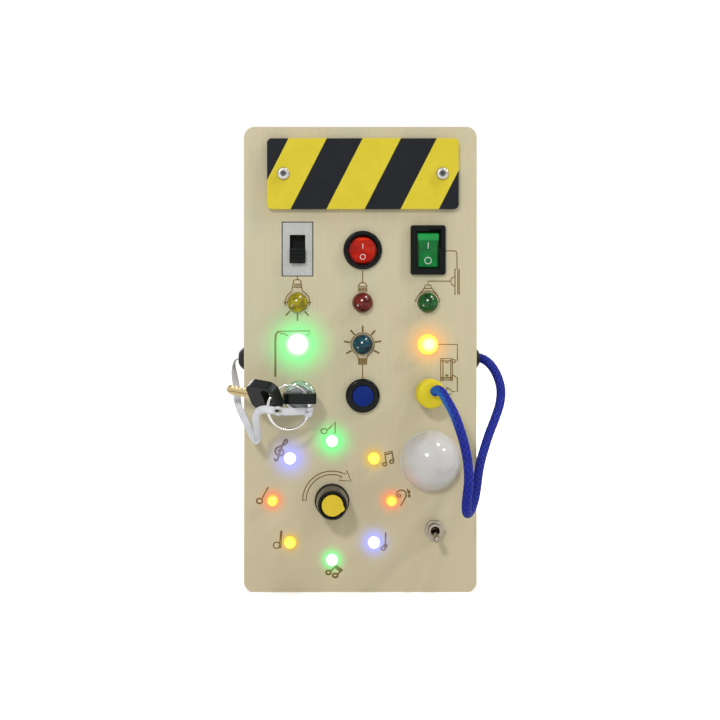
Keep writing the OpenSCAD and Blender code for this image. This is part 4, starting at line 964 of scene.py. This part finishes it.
cap_blue = Finish("blue_cap", rgb(7, 36, 114), 0.1, Roughness=0.25)
cap_blue.mottled(rgb(5, 32, 106), rgb(10, 42, 122), 5)
cap_blue.grained(0.7, 3, 0.01)
bm = bmesh.new()
turned(bm, [
    (0, 4.95), (2.6, 4.98), (3.75, 5.2), (4.45, 5.2), (4.45, -5), (5.1, -5), (5.1, -8), (3.2, -8), (3.2, -4),
    (0, -4),
], 96)
soften(bm, 0.4, 4, 40)
piece(
    "button_cap", bm, cap_blue, "button", on_front(button_at), stands_for=["push_button_cap"]
)
spring = eased_piece(
    "button_coil", "push_button_spring", steel, "root", 0.02, 1, 85, sharp=180
)
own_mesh(spring)


# --- Lock and keys ---
# A chromed cam lock whose key sits level. Its split ring carries a spare key, and both keys have
# black nylon heads moulded round their brass blades, with a slot for the ring.
chrome = Finish("chrome", rgb(172, 175, 178), Metallic=1.0, Roughness=0.12)
# The lit green lamp above it shines on its upper half
from_lamp = chrome.axis("Z").fade(83, 92) * 0.5
chrome.feed("Base Color", chrome.mix(rgb(166, 168, 168), rgb(118, 190, 122), from_lamp))
chrome.grained(5, 2, 0.02)
eased_piece("lock_rim", "lock_body", chrome, "root", 0.15)
eased_piece("lock_core", "lock_barrel", steel, "barrel", 0.15)

brass = Finish("key_brass", rgb(190, 168, 122), Metallic=0.95, Roughness=0.3)
brass.mottled(rgb(168, 142, 96), rgb(208, 192, 152), 2, 4)
brass.relief(brass.noise(0.4, 3, (1, 1, 6)), 0.02)
eased_piece("lock_key_blade", "key_blade", brass, "key", 0.1)
eased_piece("spare_blade", "spare_key_blade", brass, "spare_key", 0.1)

nylon = Finish("key_nylon", rgb(9, 16, 12), 0.17, Roughness=0.32)
nylon.grained(0.6, 4, 0.02)
eased_piece("lock_key_head", "key_head", nylon, "key", 0.75, 4)
eased_piece("spare_head", "spare_key_head", nylon, "spare_key", 0.75, 4)

# The ring's wire lies in two turns side by side, and crosses over before the first is full
wire_r = 0.4
wire_pitch = 1.25
wire_step = 7.5
cross_from = 315
cross_to = 360
wire_end = 675
ring_route = []
for k in range(int(wire_end / wire_step) + 1):
    rise = min(1, max(0, (wire_step * k - cross_from) / (cross_to - cross_from)))
    rise = rise * rise * (3 - 2 * rise)
    a = radians(115 + wire_step * k)
    ring_route.append(Vector((ring_r * cos(a), ring_r * sin(a), wire_pitch * (rise - 0.5))))
bm = bmesh.new()
outward = [Vector((p.x, p.y, 0)).normalized() for p in ring_route]
rolled(bm, ring_route, outward, 12, oval(wire_r, wire_r))
wire_steel = Finish("ring_steel", rgb(212, 210, 206), Metallic=1.0, Roughness=0.18)
wire_steel.grained(0.5, 3, 0.01)
piece("key_ring", bm, wire_steel, "ring", ring_turned, sharp=180, stands_for=["split_ring"])


# --- Plug and socket ---
# A yellow moulded plug with a brass pin, in a black nylon socket. The rope ends in a low collar in
# its face.
socket_at = (29.5, 85.8)
plug_yellow = Finish("plug_yellow", rgb(220, 202, 34), 0.2, Roughness=0.36)
plug_yellow.mottled(rgb(212, 192, 28), rgb(226, 208, 44), 5)
plug_yellow.grained(0.9, 3, 0.02)
bm = bmesh.new()
turned(bm, [
    (2.05, 6.7), (2.05, 1.7), (5.9, 1.7), (6.2, 2.2), (6.2, 4.4), (5.95, 4.6), (5.95, 5.2), (6.2, 5.4),
    (6.2, 7.6), (5.95, 7.8), (5.95, 8.4), (6.2, 8.6), (6.2, 11.4), (5.7, 12.5), (4.6, 12.95), (2.6, 13.0),
    (0, 13.0), (0, 6.7), (2.05, 6.7),
], 96)
soften(bm, 0.14)
plug = piece(
    "plug_shell", bm, plug_yellow, "plug", on_front(socket_at), stands_for=["plug_body"]
)
gilt = Finish("pin_brass", rgb(206, 178, 112), Metallic=1.0, Roughness=0.22)
gilt.grained(0.6, 3, 0.01)
plug_pin = eased_piece("plug_contact", "plug_pin", gilt, "plug", 0.1)
eased_piece("socket_shell", "socket_body", moulded, "root", 0.2)
[p * mm for p in rope_route]
[p * mm for p in ribbon_run]


# --- White dome ---
# A frosted dome, moulded in milky acrylic and pushed in from behind up to its flange. It covers
# its own small lamp board.
dome_at = (30.1, 56.5)
dome_r = 12.7
dome_inner_r = 11.5
flange_r = 13.4
milky = Finish(
    "milky_acrylic", rgb(204, 203, 199), Roughness=0.14, Subsurface_Weight=0.7,
    Subsurface_Radius=(0.008, 0.008, 0.008),
)
white_body = milky.mix(rgb(199, 198, 195), rgb(211, 209, 205), milky.noise(12, 2))
# A little of the red lamp's light shows in it, low on its left
from_red = milky.away(led_at(2)).fade(21, 9) * 0.42
milky.feed("Base Color", milky.mix(white_body, rgb(232, 194, 186), from_red))
milky.grained(0.5, 2, 0.004)
bm = bmesh.new()
outer = bow(0, 0, dome_r, 90, 0, steps=28)[:-2]
lip = [(dome_r, 0.4), (dome_r + 0.3, 0.32), (dome_r + 0.35, 0.02), (dome_r, 0.02)]
flange = [(dome_r, -4), (flange_r, -4), (flange_r, -5), (dome_inner_r, -5)]
inner = bow(0, 0, dome_inner_r, 0, 90, steps=20)
turned(bm, [*outer, *lip, *flange, *inner], 96)
piece("dome_shell", bm, milky, "root", on_front(dome_at), stands_for=["dome_lens"])


# --- Toggle switch ---
# A nickel-plated toggle: a threaded neck with a hexagonal nut on its washer. Its bat lever turns
# on a cross pin in the neck.
toggle_at = (31.8, 27)
lever_pivot = 2.4
lever_rest = radians(12)
nickel = Finish("nickel_plate", rgb(146, 137, 124), Metallic=1.0, Roughness=0.2)
nickel.grained(0.8, 3, 0.01)
eased_piece("toggle_hex_nut", "toggle_nut", nickel, "root", 0.3)
dress("toggle_body", nickel)
bm = bmesh.new()
ball = bow(0, 0, 1.9, -90, 54, steps=16)
tip = bow(0, 10.6, 1.4, 0, 90, steps=10)
turned(bm, [*ball, (1.0, 2.0), (1.1, 5), (1.34, 9.8), *tip], 48)
bmesh.ops.create_cone(
    bm, cap_ends=True, segments=16, radius1=0.5, radius2=0.5, depth=5.4,
    matrix=Matrix.Rotation(radians(90), 4, "Y"),
)
tilted = (
    on_front(toggle_at) @ Matrix.Translation((0, 0, lever_pivot)) @ Matrix.Rotation(lever_rest, 4, "X")
)
piece("toggle_bat", bm, nickel, "lever", tilted, stands_for=["toggle_lever"])


# --- Grommets ---
# Black rubber domes, one pressed into each side of the box. The rope comes out of the right one
# and the ribbon out of the left one.
rubber = Finish("black_rubber", rgb(27, 27, 28), 0.2, Roughness=0.55)
rubber.mottled(rgb(20, 20, 21), rgb(38, 38, 39), 1.8, 4)
rubber.grained(0.4, 4, 0.03)
eased_piece("side_grommets", "grommets", rubber, "root", 0.3, 3, 40)


# --- Battery bay and back ---
# A black moulded battery box behind the cover, with two cells between steel contacts. A flush
# door with one screw closes it.
box_black = Finish("box_black", rgb(34, 34, 35), 0.25, Roughness=0.5)
box_black.grained(0.45, 4, 0.03)
dress("battery_box", box_black)
eased_piece("bay_door", "battery_door", box_black, "root", 0.25)
jacket = Finish("cell_jacket", rgb(62, 126, 74), Roughness=0.35, Coat_Weight=0.3)
ends = jacket.axis("X").size().fade(17, 17.4)
jacket.feed("Base Color", jacket.mix(rgb(62, 126, 74), rgb(196, 170, 96), ends))
jacket.grained(1.2, 3, 0.01)
dress("battery_cells", jacket)
dress("battery_contacts", steel)
eased_piece("cover_screws", "back_screws", steel, "root", 0.08)
eased_piece("bay_screw", "door_screw", steel, "root", 0.08)


# --- Studio ---
# A pale floor that runs out into white, a soft light at the upper left, two weaker ones that hang
# over the board and to its right, and a wide one behind it.
floor_mesh = bpy.data.meshes.new("studio_floor")
bm = bmesh.new()
bmesh.ops.create_grid(bm, x_segments=1, y_segments=1, size=3)
bm.to_mesh(floor_mesh)
bm.free()
floor = bpy.data.objects.new("studio_floor", floor_mesh)
scene.collection.objects.link(floor)
# The studio shows itself white to the camera and in gloss, and lights the board more dimly
shown_to = ("Is Camera Ray", "Is Transmission Ray", "Is Glossy Ray")
paper = Finish("white_paper", (0.8, 0.8, 0.8), Roughness=0.9, Emission_Strength=1)
seen = 0
for kind in shown_to:
    seen = paper.node("ShaderNodeLightPath", output=kind).above(seen)
across = paper.axis("X") ** 2 + paper.axis("Y") ** 2
own_light = paper.mix((0.42, 0.42, 0.42), (1, 1, 1), (across**0.5).fade(90, 420))
paper.feed("Emission Color", paper.mix((0, 0, 0), own_light, seen))
floor_mesh.materials.append(paper.material)

world = bpy.data.worlds.new("studio")
scene.world = world
world.use_nodes = True
nodes, links = world.node_tree.nodes, world.node_tree.links
sky = nodes["Background"]
sky.inputs["Color"].default_value = (1, 1, 1, 1)
sky.inputs["Strength"].default_value = 0.43
white = nodes.new("ShaderNodeBackground")
white.inputs["Color"].default_value = (1, 1, 1, 1)
rays = nodes.new("ShaderNodeLightPath")
shown = rays.outputs[shown_to[0]]
for kind in shown_to[1:]:
    either = nodes.new("ShaderNodeMath")
    either.operation = "MAXIMUM"
    links.new(shown, either.inputs[0])
    links.new(rays.outputs[kind], either.inputs[1])
    shown = either.outputs[0]
choice = nodes.new("ShaderNodeMixShader")
links.new(shown, choice.inputs[0])
links.new(sky.outputs[0], choice.inputs[1])
links.new(white.outputs[0], choice.inputs[2])
links.new(choice.outputs[0], nodes["World Output"].inputs["Surface"])


def soft_light(name, at, size, power):
    """A square soft light that looks at the middle of the board."""
    data = bpy.data.lights.new(name, "AREA")
    data.size = size
    data.energy = power
    light = bpy.data.objects.new(name, data)
    light.location = at
    aim = Vector((0, 0, board_h / 2 * mm)) - Vector(at)
    light.rotation_euler = aim.to_track_quat("-Z", "Y").to_euler()
    scene.collection.objects.link(light)


soft_light("key_light", (-0.3, -0.97, 0.58), 0.13, 3.9)
soft_light("top_light", (0.48, -0.25, 1.05), 0.09, 2.6)
soft_light("side_light", (0.84, -0.35, 0.74), 0.09, 2.6)
soft_light("back_light", (-0.35, 1.0, 0.55), 0.5, 7)
